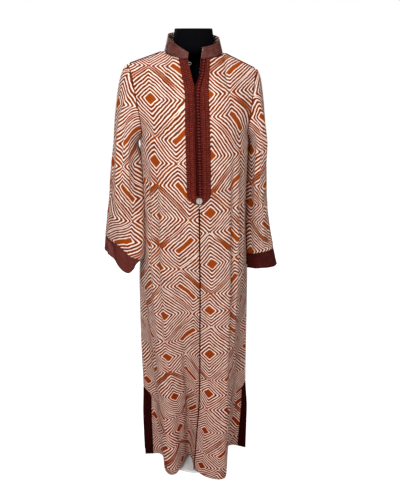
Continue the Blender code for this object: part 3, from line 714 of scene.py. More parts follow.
def build_lozenge_group():
    """The ink of the print: 1 on a printed line or core, 0 on the bare cloth."""
    group, start, end = new_group(
        "Nested lozenges", (("Place", "NodeSocketVector", None),),
        (("Ink", "NodeSocketFloat", None), ("Core", "NodeSocketFloat", None)))
    place = shifted_place(group, start.outputs["Place"], DRIFT_SCALE, DRIFT)
    place = shifted_place(group, place, SHAKE_SCALE, SHAKE)
    split = group.nodes.new("ShaderNodeSeparateXYZ")
    group.links.new(place, split.inputs[0])
    x, y = split.outputs["X"], split.outputs["Y"]
    rising = sum_of(group, "DIVIDE", sum_of(group, "ADD", x, y), LATTICE)
    falling = sum_of(group, "DIVIDE", sum_of(group, "SUBTRACT", x, y), LATTICE)
    wide_rising, off_rising, left_rising = cell_of(group, rising)
    wide_falling, off_falling, left_falling = cell_of(group, falling)
    barred = sum_of(group, "ABSOLUTE", sum_of(group, "SUBTRACT", wide_rising, wide_falling))
    ways = []
    for off, wide in ((off_rising, wide_rising), (off_falling, wide_falling)):
        bar = sum_of(group, "MULTIPLY_ADD", wide, BAR_LONG - BAR_SHORT, BAR_SHORT - CORE)
        core = sum_of(group, "MULTIPLY_ADD", barred, bar, CORE)
        ways.append(sum_of(group, "SUBTRACT", off, core))
    ring = sum_of(group, "MULTIPLY", sum_of(group, "SMOOTH_MAX", ways[0], ways[1], MITRE_SOFT),
                  RING_RATE)
    wave = sum_of(group, "FRACT", ring)
    swell = noise_of(group, start.outputs["Place"], SWELL_SCALE, 1.0).outputs["Fac"]
    share = sum_of(group, "MULTIPLY_ADD", swell, SWELL, INK_SHARE - SWELL / 2)
    near = sum_of(group, "ABSOLUTE", sum_of(group, "MULTIPLY_ADD", share, 0.5,
                                            sum_of(group, "SUBTRACT", wave, 1.0)))
    wrapped = sum_of(group, "MINIMUM", near, sum_of(group, "SUBTRACT", 1.0, near))
    line = sum_of(group, "MULTIPLY_ADD", share, -0.5, wrapped)
    line = ramp_of(group, line, LINE_SOFT, -LINE_SOFT)
    core = ramp_of(group, ring, CORE_SOFT, -CORE_SOFT)
    thick = noise_of(group, start.outputs["Place"], BORDER_SCALE, 1.0).outputs["Fac"]
    thick = sum_of(group, "MULTIPLY_ADD", thick, BORDER_SPREAD, BORDER - BORDER_SPREAD / 2)
    nearest = sum_of(group, "MINIMUM", left_rising, left_falling)
    border = sum_of(group, "SUBTRACT", nearest, thick)
    border = ramp_of(group, border, BORDER_SOFT, -BORDER_SOFT)
    line = sum_of(group, "MAXIMUM", line, border)
    group.links.new(sum_of(group, "MAXIMUM", line, core), end.inputs["Ink"])
    group.links.new(sum_of(group, "MAXIMUM", core, border), end.inputs["Core"])
    return group


LOZENGES = build_lozenge_group()
print("print repeat:", LATTICE, "m")


# %% [markdown]
# ## Materials
# Crepe is matt with a fine grain, satin is smooth with a soft sheen along its threads,
# braid is silky and the knots are hard little balls of cord. Each material keeps its own
# Principled BSDF and takes colour, roughness and bump from the groups. Towards the hem the
# print carries painted shade: its ink is painted darker and its ground warmer, as painted
# bounce light.

# %% Material helpers
def start_material(name, roughness, specular=0.5, metallic=0.0):
    """A new material with its shader; returns the material, its tree and the shader."""
    made = bpy.data.materials.new(name)
    made.use_nodes = True
    tree = made.node_tree
    shader = tree.nodes["Principled BSDF"]
    shader.inputs["Roughness"].default_value = roughness
    shader.inputs["Specular IOR Level"].default_value = specular
    shader.inputs["Metallic"].default_value = metallic
    return made, tree, shader


def cloth_place(tree):
    """The flat cloth's coordinates from the UV map, as a socket."""
    made = tree.nodes.new("ShaderNodeUVMap")
    made.uv_map = "flat_cloth"
    return made.outputs["UV"]


def object_place(tree):
    return tree.nodes.new("ShaderNodeTexCoord").outputs["Object"]


def use_group(tree, group, place, value=None):
    made = tree.nodes.new("ShaderNodeGroup")
    made.node_tree = group
    tree.links.new(place, made.inputs["Place"])
    if value is not None:
        made.inputs[1].default_value = value
    return made.outputs


def dress_shader(tree, shader, colour, rough, height, depth):
    """Gives the shader a colour, a roughness and a bump of the given depth."""
    tree.links.new(colour, shader.inputs["Base Color"])
    tree.links.new(rough, shader.inputs["Roughness"])
    bump = tree.nodes.new("ShaderNodeBump")
    bump.inputs["Distance"].default_value = depth
    tree.links.new(height, bump.inputs["Height"])
    tree.links.new(bump.outputs["Normal"], shader.inputs["Normal"])


def shaded(tree, colour, tone):
    """A colour times a tone."""
    made = tree.nodes.new("ShaderNodeMix")
    made.data_type = "RGBA"
    made.blend_type = "MULTIPLY"
    made.inputs["Factor"].default_value = 1.0
    feed(tree, colour, made.inputs["A"])
    tree.links.new(tone, made.inputs["B"])
    return made.outputs["Result"]


# %% Print material
GROUND_COLOUR = (0.90, 0.730, 0.640, 1.0)
LINE_COLOUR = (0.262, 0.0470, 0.0070, 1.0)
LINE_DARK_COLOUR = (0.135, 0.0190, 0.0026, 1.0)
CORE_COLOUR = (0.330, 0.0550, 0.0060, 1.0)
# Painted shade: from the upper height down to the hem the ink is painted darker and the ground a warmer,
# painted bounce light.
PAINTED_SHADE_FULL_Z = 0.08
PAINTED_SHADE_START_Z = 1.00
PAINTED_SHADE_INK = (0.80, 0.46, 0.35, 1.0)
PAINTED_BOUNCE_GROUND = (0.98, 0.700, 0.590, 1.0)


def make_print():
    made, tree, shader = start_material("printed crepe", 0.80, specular=0.02)
    place = cloth_place(tree)
    lozenges = use_group(tree, LOZENGES, place)
    thread = use_group(tree, THREAD, place, 0.0009)["Height"]
    tone = use_group(tree, SHADE, place, 0.18)["Tone"]
    uneven = noise_of(tree, place, 420.0, 3.0, 0.7).outputs["Fac"]
    ink = mix_of(tree, uneven, LINE_COLOUR, LINE_DARK_COLOUR)
    ink = mix_of(tree, lozenges["Core"], ink, CORE_COLOUR)
    height = tree.nodes.new("ShaderNodeSeparateXYZ")
    tree.links.new(object_place(tree), height.inputs[0])
    # Painted shade: the share of darker ink and warmer ground grows towards the hem.
    painted_shade_share = ramp_of(tree, height.outputs["Z"], PAINTED_SHADE_START_Z, PAINTED_SHADE_FULL_Z)
    ink = shaded(tree, ink, mix_of(tree, painted_shade_share, (1.0, 1.0, 1.0, 1.0), PAINTED_SHADE_INK))
    ground = mix_of(tree, painted_shade_share, GROUND_COLOUR, PAINTED_BOUNCE_GROUND)
    colour = mix_of(tree, lozenges["Ink"], ground, ink)
    rough = sum_of(tree, "MULTIPLY_ADD", lozenges["Ink"], -0.08, 0.78)
    dress_shader(tree, shader, shaded(tree, colour, tone), rough, thread, 0.00022)
    return made


PRINT = make_print()


# %% Satin, braid and cord materials
def make_satin(name, colour, light, specular):
    """Satin: long floats one way, so a fine ridge and a soft uneven gloss."""
    made, tree, shader = start_material(name, 0.42, specular=specular)
    place = cloth_place(tree)
    stretch = tree.nodes.new("ShaderNodeMapping")
    stretch.inputs["Scale"].default_value = (0.12, 1.0, 1.0)
    tree.links.new(place, stretch.inputs["Vector"])
    floats = noise_of(tree, stretch.outputs["Vector"], 1500.0, 2.0).outputs["Fac"]
    slubs = noise_of(tree, stretch.outputs["Vector"], 260.0, 3.0, 0.65).outputs["Fac"]
    slubs = ramp_of(tree, slubs, 0.22, 0.78)
    pucker = noise_of(tree, place, 90.0, 2.0).outputs["Fac"]
    colour = mix_of(tree, slubs, colour, light)
    tone = use_group(tree, SHADE, place, 0.5)["Tone"]
    rough = sum_of(tree, "MULTIPLY_ADD", slubs, 0.2, 0.30)
    height = sum_of(tree, "ADD", sum_of(tree, "MULTIPLY", floats, 0.25), pucker)
    dress_shader(tree, shader, shaded(tree, colour, tone), rough, height, 0.0022)
    return made


def make_silk(name, colour, light, pitch, roughness):
    """Silky thread for braid and cord: fine strands and an uneven tone."""
    made, tree, shader = start_material(name, roughness, specular=0.03)
    place = object_place(tree)
    strands = use_group(tree, THREAD, place, pitch)["Height"]
    tone = use_group(tree, SHADE, place, 0.55)["Tone"]
    mixed = ramp_of(tree, noise_of(tree, place, 260.0, 3.0, 0.7).outputs["Fac"], 0.34, 0.66)
    colour = mix_of(tree, mixed, colour, light)
    rough = sum_of(tree, "MULTIPLY_ADD", mixed, 0.25, roughness - 0.12)
    dress_shader(tree, shader, shaded(tree, colour, tone), rough, strands, 0.00020)
    return made


SATIN = make_satin("brown satin", (0.068, 0.0180, 0.0140, 1.0), (0.155, 0.0480, 0.0390, 1.0), 0.14)
CUFF_SATIN = make_satin("red-brown satin", (0.085, 0.0145, 0.0105, 1.0), (0.140, 0.0270, 0.0200, 1.0), 0.14)
# A darker copy of the red-brown cuff satin, used on the right cuff: painted shade.
PAINTED_SHADE_CUFF_SATIN = make_satin("painted shade cuff satin", (0.036, 0.0046, 0.0036, 1.0), (0.076, 0.0105, 0.0085, 1.0), 0.06)
DARK_SATIN = make_satin("dark satin", (0.0110, 0.0004, 0.0004, 1.0), (0.032, 0.0013, 0.0011, 1.0), 0.015)
BRAID = make_silk("rust braid", (0.115, 0.0145, 0.0088, 1.0), (0.300, 0.0510, 0.0345, 1.0), 0.0007, 0.55)
BRAID_GROUND = make_silk("braid ground", (0.0600, 0.0066, 0.0044, 1.0), (0.105, 0.0140, 0.0094, 1.0),
                         0.0008, 0.65)
KNOT_SILK = make_silk("knot silk", (0.110, 0.0150, 0.0110, 1.0), (0.190, 0.0340, 0.0260, 1.0),
                           0.0006, 0.55)
SILK_CORD = make_silk("dark silk cord", (0.0240, 0.0018, 0.0014, 1.0), (0.050, 0.0044, 0.0034, 1.0),
                      0.0006, 0.55)
PIPING = make_silk("piping silk", (0.0640, 0.0052, 0.0044, 1.0), (0.105, 0.0110, 0.0094, 1.0),
                   0.0006, 0.6)
CENTRE_SILK = make_silk("centre cord silk", (0.0480, 0.0010, 0.0008, 1.0),
                        (0.080, 0.0026, 0.0020, 1.0), 0.0006, 0.6)


# %% Form, metal and lacquer materials
def make_jersey():
    """Black jersey pulled over the form: matt, with fine knit columns and lint."""
    made, tree, shader = start_material("black jersey", 0.85, specular=0.03)
    place = object_place(tree)
    knit = use_group(tree, THREAD, place, 0.0012)["Height"]
    lint = noise_of(tree, place, 320.0, 4.0, 0.7).outputs["Fac"]
    speck = ramp_of(tree, lint, 0.60, 0.86)
    colour = mix_of(tree, speck, (0.0022, 0.0020, 0.0030, 1.0), (0.012, 0.012, 0.014, 1.0))
    rough = sum_of(tree, "MULTIPLY_ADD", lint, 0.2, 0.75)
    dress_shader(tree, shader, colour, rough, knit, 0.0003)
    return made


def make_hard(name, colour, light, roughness, metallic, scale, depth):
    """Metal or lacquer: slow change of tone, fine marks in the roughness."""
    made, tree, shader = start_material(name, roughness, metallic=metallic)
    place = object_place(tree)
    marks = noise_of(tree, place, scale, 4.0, 0.65).outputs["Fac"]
    tone = use_group(tree, SHADE, place, 0.12)["Tone"]
    colour = mix_of(tree, marks, colour, light)
    rough = sum_of(tree, "MULTIPLY_ADD", marks, 0.3, roughness - 0.15)
    dress_shader(tree, shader, shaded(tree, colour, tone), rough, marks, depth)
    return made


JERSEY = make_jersey()
DISC_METAL = make_hard("cast grey disc", (0.42, 0.40, 0.37, 1.0), (0.70, 0.68, 0.64, 1.0), 0.42, 0.55,
                       500.0, 0.00025)
STEEL = make_hard("steel", (0.46, 0.46, 0.47, 1.0), (0.62, 0.62, 0.63, 1.0), 0.34, 1.0, 180.0, 0.00005)
LACQUER = make_hard("white lacquer", (0.78, 0.78, 0.77, 1.0), (0.84, 0.84, 0.83, 1.0), 0.38, 0.0,
                    140.0, 0.00006)
print("materials:", len(bpy.data.materials))

# %% [markdown]
# ## Front and back panels
# A real panel is cut flat, sewn at the shoulder and side, and hangs. Here its rows are
# read from the tables, moved in and out by the creases, and measured along their length
# again, so that the print keeps its size on the cloth and closes up inside a fold.

# %% Panel grids
SKIRT_ROWS = 130
YOKE_ROWS = 40
PANEL_COLUMNS = 84
YOKE_PRINT_LEVEL, YOKE_PRINT_BLEND = 1.25, 0.25
PRINT_START = {(FRONT, LEFT): (-0.040, -0.026), (FRONT, RIGHT): (-0.032, -0.045),
               (BACK, LEFT): (0.0, 0.04), (BACK, RIGHT): (0.0, 0.04)}


def fine_levels():
    lower = [step / SKIRT_ROWS for step in range(SKIRT_ROWS)]
    upper = [1.0 + step / YOKE_ROWS for step in range(YOKE_ROWS + 1)]
    return lower + upper


def panel_grid(face, side, levels):
    """A fine grid of a panel with its creases, from the centre to the side."""
    grid, lengths = [], []
    for level in levels:
        row = panel_row(face, side, level)
        length = length_of(row)
        lengths.append(length)
        grid.append(at_distances(row, [length * i / PANEL_COLUMNS for i in range(PANEL_COLUMNS + 1)]))
    normals = normals_of(grid, side * face)
    depths = [[panel_depth(face, side, length * i / PANEL_COLUMNS, level, length)
               for i in range(PANEL_COLUMNS + 1)] for level, length in zip(levels, lengths)]
    return moved(grid, normals, depths)


def cloth_places(face, side, levels, grid):
    """Each point's place on the flat cloth: across from the centre, and up."""
    shift_x, shift_y = PRINT_START[(face, side)]
    ups, places = [0.0] * len(grid[0]), []
    for j, row in enumerate(grid):
        rise = smooth_step((levels[j] - YOKE_PRINT_LEVEL) / YOKE_PRINT_BLEND)
        across, line = 0.0, []
        for i, point in enumerate(row):
            if i:
                step = point - row[i - 1]
                across += lerp(step.length, abs(step.x), rise)
            if j:
                step = point - grid[j - 1][i]
                ups[i] += math.hypot(step.z, step.y * rise)
            start = abs(row[0].x) * rise
            line.append((side * (across + start) + shift_x, ups[i] + shift_y))
        places.append(line)
    return places


def make_panels():
    levels = fine_levels()
    halves = {}
    for face in (FRONT, BACK):
        for side in (LEFT, RIGHT):
            grid = panel_grid(face, side, levels)
            halves[(face, side)] = (grid, cloth_places(face, side, levels, grid))
    for side in (LEFT, RIGHT):
        name = "front_" + SIDE_NAME[side]
        grid, places = halves[(FRONT, side)]
        mesh = grid_mesh(name + "_cloth", grid, side == LEFT, places)
        piece = add_cloth(mesh, WALL, PRINT, "print", name)
    left, left_places = halves[(BACK, LEFT)]
    right, right_places = halves[(BACK, RIGHT)]
    grid = [a[:0:-1] + b for a, b in zip(left, right)]
    places = [a[:0:-1] + b for a, b in zip(left_places, right_places)]
    mesh = grid_mesh("back_cloth", grid, True, places)
    piece = add_cloth(mesh, WALL, PRINT, "print", "back_panel")


make_panels()

# %% [markdown]
# ## Sleeves and cuffs
# A set-in sleeve is a tube with a curved cap, a little wider than the armhole and eased
# into it with tiny puckers. The arm is empty, so the tube goes flat towards the wrist and
# takes long folds down its length and a few across at the elbow. Its inner side lies
# beside the body, and its mouth waves a little. The satin cuff is sewn to its end as a
# separate band, folded over at the bottom.

# %% Sleeve tables
SLEEVE = {  # height, centre x, centre y, across, deep, turn, rise, ridge; last row the cuff
    LEFT: ((1.232, -0.2000, -0.016, 0.0360, 0.064, 0, 0.000, 0.010),
           (1.160, -0.2050, -0.020, 0.0410, 0.062, 4, 0.002, 0.012),
           (1.060, -0.2115, -0.028, 0.0480, 0.056, 14, 0.006, 0.010),
           (0.972, -0.2215, -0.035, 0.0580, 0.046, 28, 0.018, 0.006),
           (0.912, -0.2300, -0.039, 0.0665, 0.036, 40, 0.031, 0.000),
           (0.867, -0.2410, -0.041, 0.0605, 0.040, 42, 0.029, 0.000)),
    RIGHT: ((1.232, 0.1880, -0.016, 0.0250, 0.069, 0, 0.000, 0.010),
            (1.160, 0.1918, -0.016, 0.0247, 0.065, -5, 0.000, 0.012),
            (1.060, 0.1985, -0.018, 0.0265, 0.060, -10, 0.000, 0.010),
            (0.965, 0.2080, -0.021, 0.0315, 0.052, -15, 0.006, 0.006),
            (0.880, 0.2172, -0.024, 0.0385, 0.044, -17, 0.014, 0.000),
            (0.824, 0.2250, -0.025, 0.0460, 0.041, -17, 0.010, 0.000)),
}
RIM_LIFTS = {  # turn from the outer side, spread, lift of the sleeve's end, lift of the cuff's edge
    LEFT: ((92.0, 34.0, 0.0130, 0.0020), (64.0, 22.0, 0.0000, 0.0110), (122.0, 26.0, 0.0000, -0.0085),
           (176.0, 22.0, 0.0040, 0.0120)),
    RIGHT: ((95.0, 45.0, 0.0060, 0.0040),),
}
LIFT_FADE = 0.100
RIDGE_TURN = {LEFT: 78.0, RIGHT: 86.0}
RIDGE_SPREAD = 24.0
CAP_REACH = {LEFT: 0.40, RIGHT: 0.31}
CAP_DROP = 0.12
CAP_ARRIVE = (0.08, 0.90)
TURN_SPREAD = 0.35
ARMPIT_SET = 0.0004
TIP_SET = -0.0006
AROUND = 96
CAP_ROWS = 40
TUBE_ROWS = 90
LEAN_GAP = 0.0022
LEAN_REACH = 0.016
LEAN_SPREAD = {LEFT: 52.0, RIGHT: 38.0}
LEAN_SOFT = 26.0
LEAN_LOOK = 90.0
LEAN_END_Z = {LEFT: 0.855, RIGHT: 0.760}
LEAN_TOP_Z = 1.235
LEAN_FADE = 0.05
CORD_ROOM = 0.0040
CORD_SPREAD = 0.010
SLEEVE_CREASES = {  # across from the outer line forwards, height, to, to, width, depth
    LEFT: ((0.050, 1.400, 0.064, 1.050, 0.007, -0.0072), (0.070, 1.380, 0.082, 1.100, 0.008, 0.0050),
           (0.030, 1.300, 0.034, 1.060, 0.009, 0.0034), (0.020, 1.130, 0.070, 1.070, 0.008, -0.0044),
           (0.012, 1.100, 0.064, 1.040, 0.007, 0.0040), (0.030, 1.050, 0.085, 1.005, 0.008, -0.0042),
           (0.084, 1.150, 0.105, 1.060, 0.007, 0.0030), (0.052, 1.010, 0.048, 0.913, 0.006, -0.0042),
           (0.075, 1.000, 0.070, 0.912, 0.006, 0.0032), (0.024, 1.000, 0.026, 0.915, 0.006, 0.0026),
           (0.096, 1.280, 0.108, 1.020, 0.006, -0.0046), (0.008, 1.240, 0.012, 1.000, 0.007, -0.0026),
           (-0.060, 1.360, -0.050, 1.100, 0.008, -0.0050), (-0.020, 1.170, -0.080, 1.090, 0.009, 0.0036),
           (-0.090, 1.120, -0.050, 1.030, 0.008, -0.0036), (-0.040, 1.020, -0.044, 0.915, 0.007, 0.0034)),
    RIGHT: ((0.046, 1.390, 0.044, 1.080, 0.007, -0.0062), (0.066, 1.360, 0.074, 1.080, 0.008, 0.0046),
            (0.020, 1.190, 0.062, 1.120, 0.008, 0.0038), (0.024, 1.130, 0.076, 1.070, 0.008, -0.0044),
            (0.050, 1.060, 0.100, 1.030, 0.007, 0.0034), (0.014, 1.060, 0.056, 1.005, 0.007, -0.0036),
            (0.060, 1.000, 0.058, 0.893, 0.006, -0.0044), (0.034, 0.990, 0.036, 0.888, 0.006, 0.0032),
            (0.086, 1.280, 0.092, 1.000, 0.006, -0.0050), (0.084, 0.990, 0.088, 0.888, 0.007, 0.0030),
            (0.008, 1.260, 0.010, 1.040, 0.007, -0.0026), (-0.050, 1.340, -0.046, 1.080, 0.008, -0.0050),
            (-0.020, 1.140, -0.074, 1.070, 0.009, 0.0036), (-0.080, 1.100, -0.040, 1.010, 0.008, -0.0036),
            (-0.050, 1.010, -0.052, 0.900, 0.007, 0.0034)),
}


# %% Sleeve rings
def sleeve_ring(side, row, lift=0.0, edge=2):
    """One ring below the armpit, outer side first, then the front; edge is a RIM_LIFTS column."""
    height, centre_x, centre_y, across, deep, turn, rise, ridge = row
    turn = math.radians(turn)
    ring = []
    for step in range(AROUND):
        angle = 360.0 * step / AROUND
        swell = ridge * bell(angle - RIDGE_TURN[side], RIDGE_SPREAD)
        x = across * math.cos(math.radians(angle))
        y = (deep + swell) * math.sin(math.radians(angle))
        outer = x * math.cos(turn) + y * math.sin(turn) * TURN_SPREAD
        front = y * math.cos(turn) - x * math.sin(turn)
        up = sum(line[edge] * bell(angle - line[0], line[1]) for line in RIM_LIFTS[side])
        ring.append(Vector((centre_x + side * outer, centre_y - front,
                            height + rise * math.cos(math.radians(angle)) + up * lift)))
    return ring


def body_side(side, y, height):
    """How far out a body panel is at a place along its side."""
    face = FRONT if y < SIDE_Y else BACK
    row = panel_row(face, side, level_of(height))
    for inner, outer in zip(row[::-1][1:], row[::-1]):
        if min(inner.y, outer.y) <= y < max(inner.y, outer.y):
            return abs(lerp(outer.x, inner.x, (y - outer.y) / (inner.y - outer.y)))
    return abs(row[-1].x)


def lean_on_body(side, ring):
    """The ring's inner side moved in until it lies beside the body panel."""
    leaned = []
    for step, point in enumerate(ring):
        angle = 360.0 * step / len(ring)
        inner = smooth_step((LEAN_SPREAD[side] - abs(angle - 180.0)) / LEAN_SOFT)
        inner *= smooth_step((point.z - LEAN_END_Z[side]) / LEAN_FADE)
        inner *= smooth_step((LEAN_TOP_Z - point.z) / LEAN_FADE)
        if abs(angle - 180.0) < LEAN_LOOK and point.z < LEAN_TOP_Z:
            cord_room = CORD_ROOM * bell(point.y - SIDE_Y, CORD_SPREAD)
            target = body_side(side, point.y, point.z) + LEAN_GAP + cord_room
            change = target - abs(point.x)
            change = change if change > 0.0 else max(change, -LEAN_REACH) * inner
            point = point + Vector((side * change, 0.0, 0.0))
        leaned.append(point)
    return leaned


def armhole_ring(side):
    """The armhole as a ring of the sleeve, set just outside the panels' edges."""
    front, back = ARMHOLES[(FRONT, side)], ARMHOLES[(BACK, side)]
    path = front[::-1] + back[1:]
    path.append(path[0])
    total = length_of(path)
    ring = at_distances(path, [total * step / AROUND for step in range(AROUND)])
    low, high = ARMHOLE[side][0][3], ARMHOLE[side][-1][3]
    for point in ring:
        share = (point.z - low) / (high - low)
        point.x += side * (WALL + GAP + lerp(ARMPIT_SET, TIP_SET, share))
    return ring


def sleeve_grid(side, rows):
    """Rings from the armhole down to the last row: a curved cap, then the tube."""
    start, end = armhole_ring(side), sleeve_ring(side, rows[0])
    grid = []
    for step in range(CAP_ROWS):
        t = step / CAP_ROWS
        square, cube = t ** 2, t ** 3
        ring = []
        for a, b in zip(start, end):
            reach = (b - a).length
            leave = Vector((side * CAP_REACH[side], 0.0, -CAP_DROP)) * reach
            arrive = Vector((side * CAP_ARRIVE[0], 0.0, -CAP_ARRIVE[1])) * reach
            ring.append(a * (2 * cube - 3 * square + 1) + leave * (cube - 2 * square + t)
                        + b * (3 * square - 2 * cube) + arrive * (cube - square))
        grid.append(ring)
    falling = tuple(reversed(rows))
    for step in range(TUBE_ROWS + 1):
        height = lerp(rows[0][0], rows[-1][0], step / TUBE_ROWS)
        row = (height,) + tuple(read(falling, height, column) for column in range(1, 8))
        lift = smooth_step((rows[-1][0] + LIFT_FADE - height) / LIFT_FADE)
        grid.append(lean_on_body(side, sleeve_ring(side, row, lift)))
    return grid


# %% Sleeve creases and pieces
PUCKER = 0.0008
PUCKERS_AROUND = 34
PUCKER_END, PUCKER_START = 0.35, 0.01
INNER_STILL, INNER_FADE = 60.0, 40.0
END_STILL = 0.03
SLEEVE_PRINT = {LEFT: (0.02, 0.05), RIGHT: (0.05, 0.02)}


def sleeve_depth(side, around, height, ring_share, angle, cap_share):
    """Creases, sleeve-head puckers and a fine ripple; the side to the body stays still."""
    still = 1.0 - smooth_step((INNER_STILL - abs(angle - 180.0)) / INNER_FADE)
    edge = smooth_step(ring_share / END_STILL) * smooth_step((1.0 - ring_share) / END_STILL)
    head = max(0.0, math.cos(math.radians(angle))) * max(0.0, 1.0 - cap_share / PUCKER_END)
    puckers = PUCKER * head * math.sin(angle / 360.0 * math.tau * PUCKERS_AROUND)
    ripple = RIPPLE * noise.noise(Vector((around * side, height, side * 7.0)) * RIPPLE_SCALE)
    creases = crease_depth(SLEEVE_CREASES[side], around, height)
    return still * edge * (creases + ripple) + puckers * min(1.0, ring_share / PUCKER_START)


def sleeve_places(side, grid, girth):
    """Places on the flat sleeve; its seam is the inner side, and its cap rises above 0."""
    ups = [[0.0] * AROUND for _ in grid]
    for j in range(CAP_ROWS - 1, -1, -1):
        ups[j] = [up + (a - b).length for up, a, b in zip(ups[j + 1], grid[j], grid[j + 1])]
    for j in range(CAP_ROWS + 1, len(grid)):
        drop = sum((a - b).length for a, b in zip(grid[j], grid[j - 1])) / AROUND
        ups[j] = [up - drop for up in ups[j - 1]]
    places = []
    for line in ups:
        around = [girth * (i / AROUND - 0.5) for i in range(AROUND + 1)]
        places.append([(side * x + SLEEVE_PRINT[side][0], line[i % AROUND] + SLEEVE_PRINT[side][1])
                       for i, x in enumerate(around)])
    return places


def make_sleeves():
    for side in (LEFT, RIGHT):
        rows = SLEEVE[side]
        grid = sleeve_grid(side, rows[:-1])
        girth = length_of(grid[-1]) + (grid[-1][-1] - grid[-1][0]).length
        depths = []
        for j, ring in enumerate(grid):
            line = []
            for i in range(AROUND):
                angle = 360.0 * i / AROUND
                around = (angle if angle <= 180.0 else angle - 360.0) / 360.0 * girth
                line.append(sleeve_depth(side, around, ring[i].z, j / (len(grid) - 1), angle,
                                         j / CAP_ROWS))
            depths.append(line)
        grid = moved(grid, normals_of(grid, -side, closed=True), depths)
        grid = [ring[AROUND // 2:] + ring[:AROUND // 2] for ring in grid]
        places = sleeve_places(side, grid, girth)
        name = "sleeve_" + SIDE_NAME[side]
        mesh = grid_mesh(name + "_cloth", grid, side == RIGHT, places, closed=True)
        piece = add_cloth(mesh, WALL, PRINT, "print", name)


make_sleeves()

# %% Cuffs
CUFF_ROWS = 28
CUFF_GAP = 0.0009
CUFF_SWELL = 0.0010
CUFF_RIDGE = 0.0008
CUFF_RIDGE_AT, CUFF_RIDGE_SPREAD = 0.13, 0.05
CUFF_CREASE_START = 0.30
# The right cuff takes the darker copy of the cuff satin as painted shade.
CUFF_CLOTH = {LEFT: CUFF_SATIN, RIGHT: PAINTED_SHADE_CUFF_SATIN}
CUFF_CREASES = {  # turn from the outer side, to the turn at the edge, spread, depth
    LEFT: ((38.0, 66.0, 8.0, -0.0070), (58.0, 86.0, 9.0, 0.0045), (120.0, 128.0, 10.0, 0.0020),
           (250.0, 262.0, 9.0, -0.0026)),
    RIGHT: ((50.0, 40.0, 9.0, -0.0016), (110.0, 96.0, 12.0, 0.0018), (235.0, 250.0, 10.0, -0.0024)),
}


def make_cuffs():
    for side in (LEFT, RIGHT):
        rows = SLEEVE[side]
        top, bottom = sleeve_ring(side, rows[-2], 1.0), sleeve_ring(side, rows[-1], 1.0, 3)
        start = CUFF_GAP / (bottom[0] - top[0]).length
        grid, places = [], []
        for step in range(CUFF_ROWS + 1):
            share = lerp(start, 1.0, step / CUFF_ROWS)
            grid.append(lean_on_body(side, [a.lerp(b, share) for a, b in zip(top, bottom)]))
        depths = []
        for step in range(CUFF_ROWS + 1):
            share = step / CUFF_ROWS
            swell = CUFF_SWELL * math.sin(math.pi * share) ** 0.5
            swell += CUFF_RIDGE * bell(share - CUFF_RIDGE_AT, CUFF_RIDGE_SPREAD)
            line = []
            for i, point in enumerate(grid[step]):
                angle = 360.0 * i / AROUND
                fold = sum(deep * bell(angle - lerp(at, to, share), wide)
                           for at, to, wide, deep in CUFF_CREASES[side])
                line.append(swell + fold * smooth_step(share / CUFF_CREASE_START)
                            + RIPPLE * noise.noise(point * RIPPLE_SCALE * 2))
            depths.append(line)
        grid = moved(grid, normals_of(grid, -side, closed=True), depths)
        for j, ring in enumerate(grid):
            across, line = 0.0, []
            for i in range(AROUND + 1):
                if i:
                    across += (ring[i % AROUND] - ring[i - 1]).length
                line.append((across, (ring[0] - grid[0][0]).length))
            places.append(line)
        name = "cuff_" + SIDE_NAME[side]
        mesh = grid_mesh(name + "_band", grid, side == RIGHT, places, closed=True)
        piece = add_cloth(mesh, BAND_WALL, CUFF_CLOTH[side], "satin", name)


make_cuffs()

# %% [markdown]
# ## Stand collar
# The collar is a folded band of satin with the print as its lining, so two thin shells
# share the CAD collar's wall. A real collar has a soft rolled top edge and a few little
# puckers where the stiff band turns round the neck.

# %% Collar
COLLAR = (  # turn from the back in degrees, base radius, top radius, base z, top z
    (-165, 0.0790, 0.0715, 1.4650, 1.4810),
    (-150, 0.0785, 0.0700, 1.4655, 1.4905),
    (-120, 0.0790, 0.0690, 1.4740, 1.5080),
    (-90, 0.0800, 0.0700, 1.4835, 1.5235),
    (-45, 0.0720, 0.0630, 1.4880, 1.5290),
    (0, 0.0660, 0.0580, 1.4895, 1.5310),
    (45, 0.0720, 0.0630, 1.4855, 1.5250),
    (90, 0.0800, 0.0705, 1.4795, 1.5155),
    (120, 0.0790, 0.0690, 1.4725, 1.5040),
    (150, 0.0785, 0.0700, 1.4655, 1.4960),
    (170, 0.0780, 0.0705, 1.4650, 1.4930),
)
COLLAR_LIFT = 0.0004
COLLAR_STEPS = 150
COLLAR_ROWS = 12
SATIN_WALL = 0.0011
LINING_SHARE = 0.94
LINING_WALL = 0.0007
COLLAR_PUCKERS = (  # turn from the back in degrees, spread, depth
    (-110, 3.5, -0.0017), (-60, 9.0, 0.0008), (-140, 5.0, 0.0007), (75, 8.0, -0.0009),
    (152, 3.0, -0.0019), (142, 3.5, 0.0009), (133, 3.0, -0.0016), (20, 12.0, -0.0008),
    (112, 6.0, -0.0007),
)
COLLAR_SLANT = 5.0


def collar_grid(offset, top_share=1.0):
    """Rows of the collar from its seam up, moved outwards by the offset."""
    grid = []
    first, last = COLLAR[0][0], COLLAR[-1][0]
    for j in range(COLLAR_ROWS + 1):
        share = j / COLLAR_ROWS * top_share
        row = []
        for step in range(COLLAR_STEPS + 1):
            degrees = lerp(first, last - COLLAR_SLANT * share, step / COLLAR_STEPS)
            turn = math.radians(degrees)
            direction = Vector((math.sin(turn), math.cos(turn), 0.0))
            radius = lerp(read(COLLAR, degrees, 1), read(COLLAR, degrees, 2), share)
            height = lerp(read(COLLAR, degrees, 3) + COLLAR_LIFT, read(COLLAR, degrees, 4), share)
            puckers = sum(deep * bell(degrees - at, wide) for at, wide, deep in COLLAR_PUCKERS)
            radius += offset + puckers * math.sin(math.pi * share)
            row.append(direction * radius + Vector((0, 0, height)))
        grid.append(row)
    return grid


def band_places(grid):
    """Places on a flat band: along its length and across it."""
    places = []
    for row in grid:
        along, line = 0.0, []
        for i, point in enumerate(row):
            if i:
                along += (point - row[i - 1]).length
            line.append((along, (point - grid[0][i]).length))
        places.append(line)
    return places


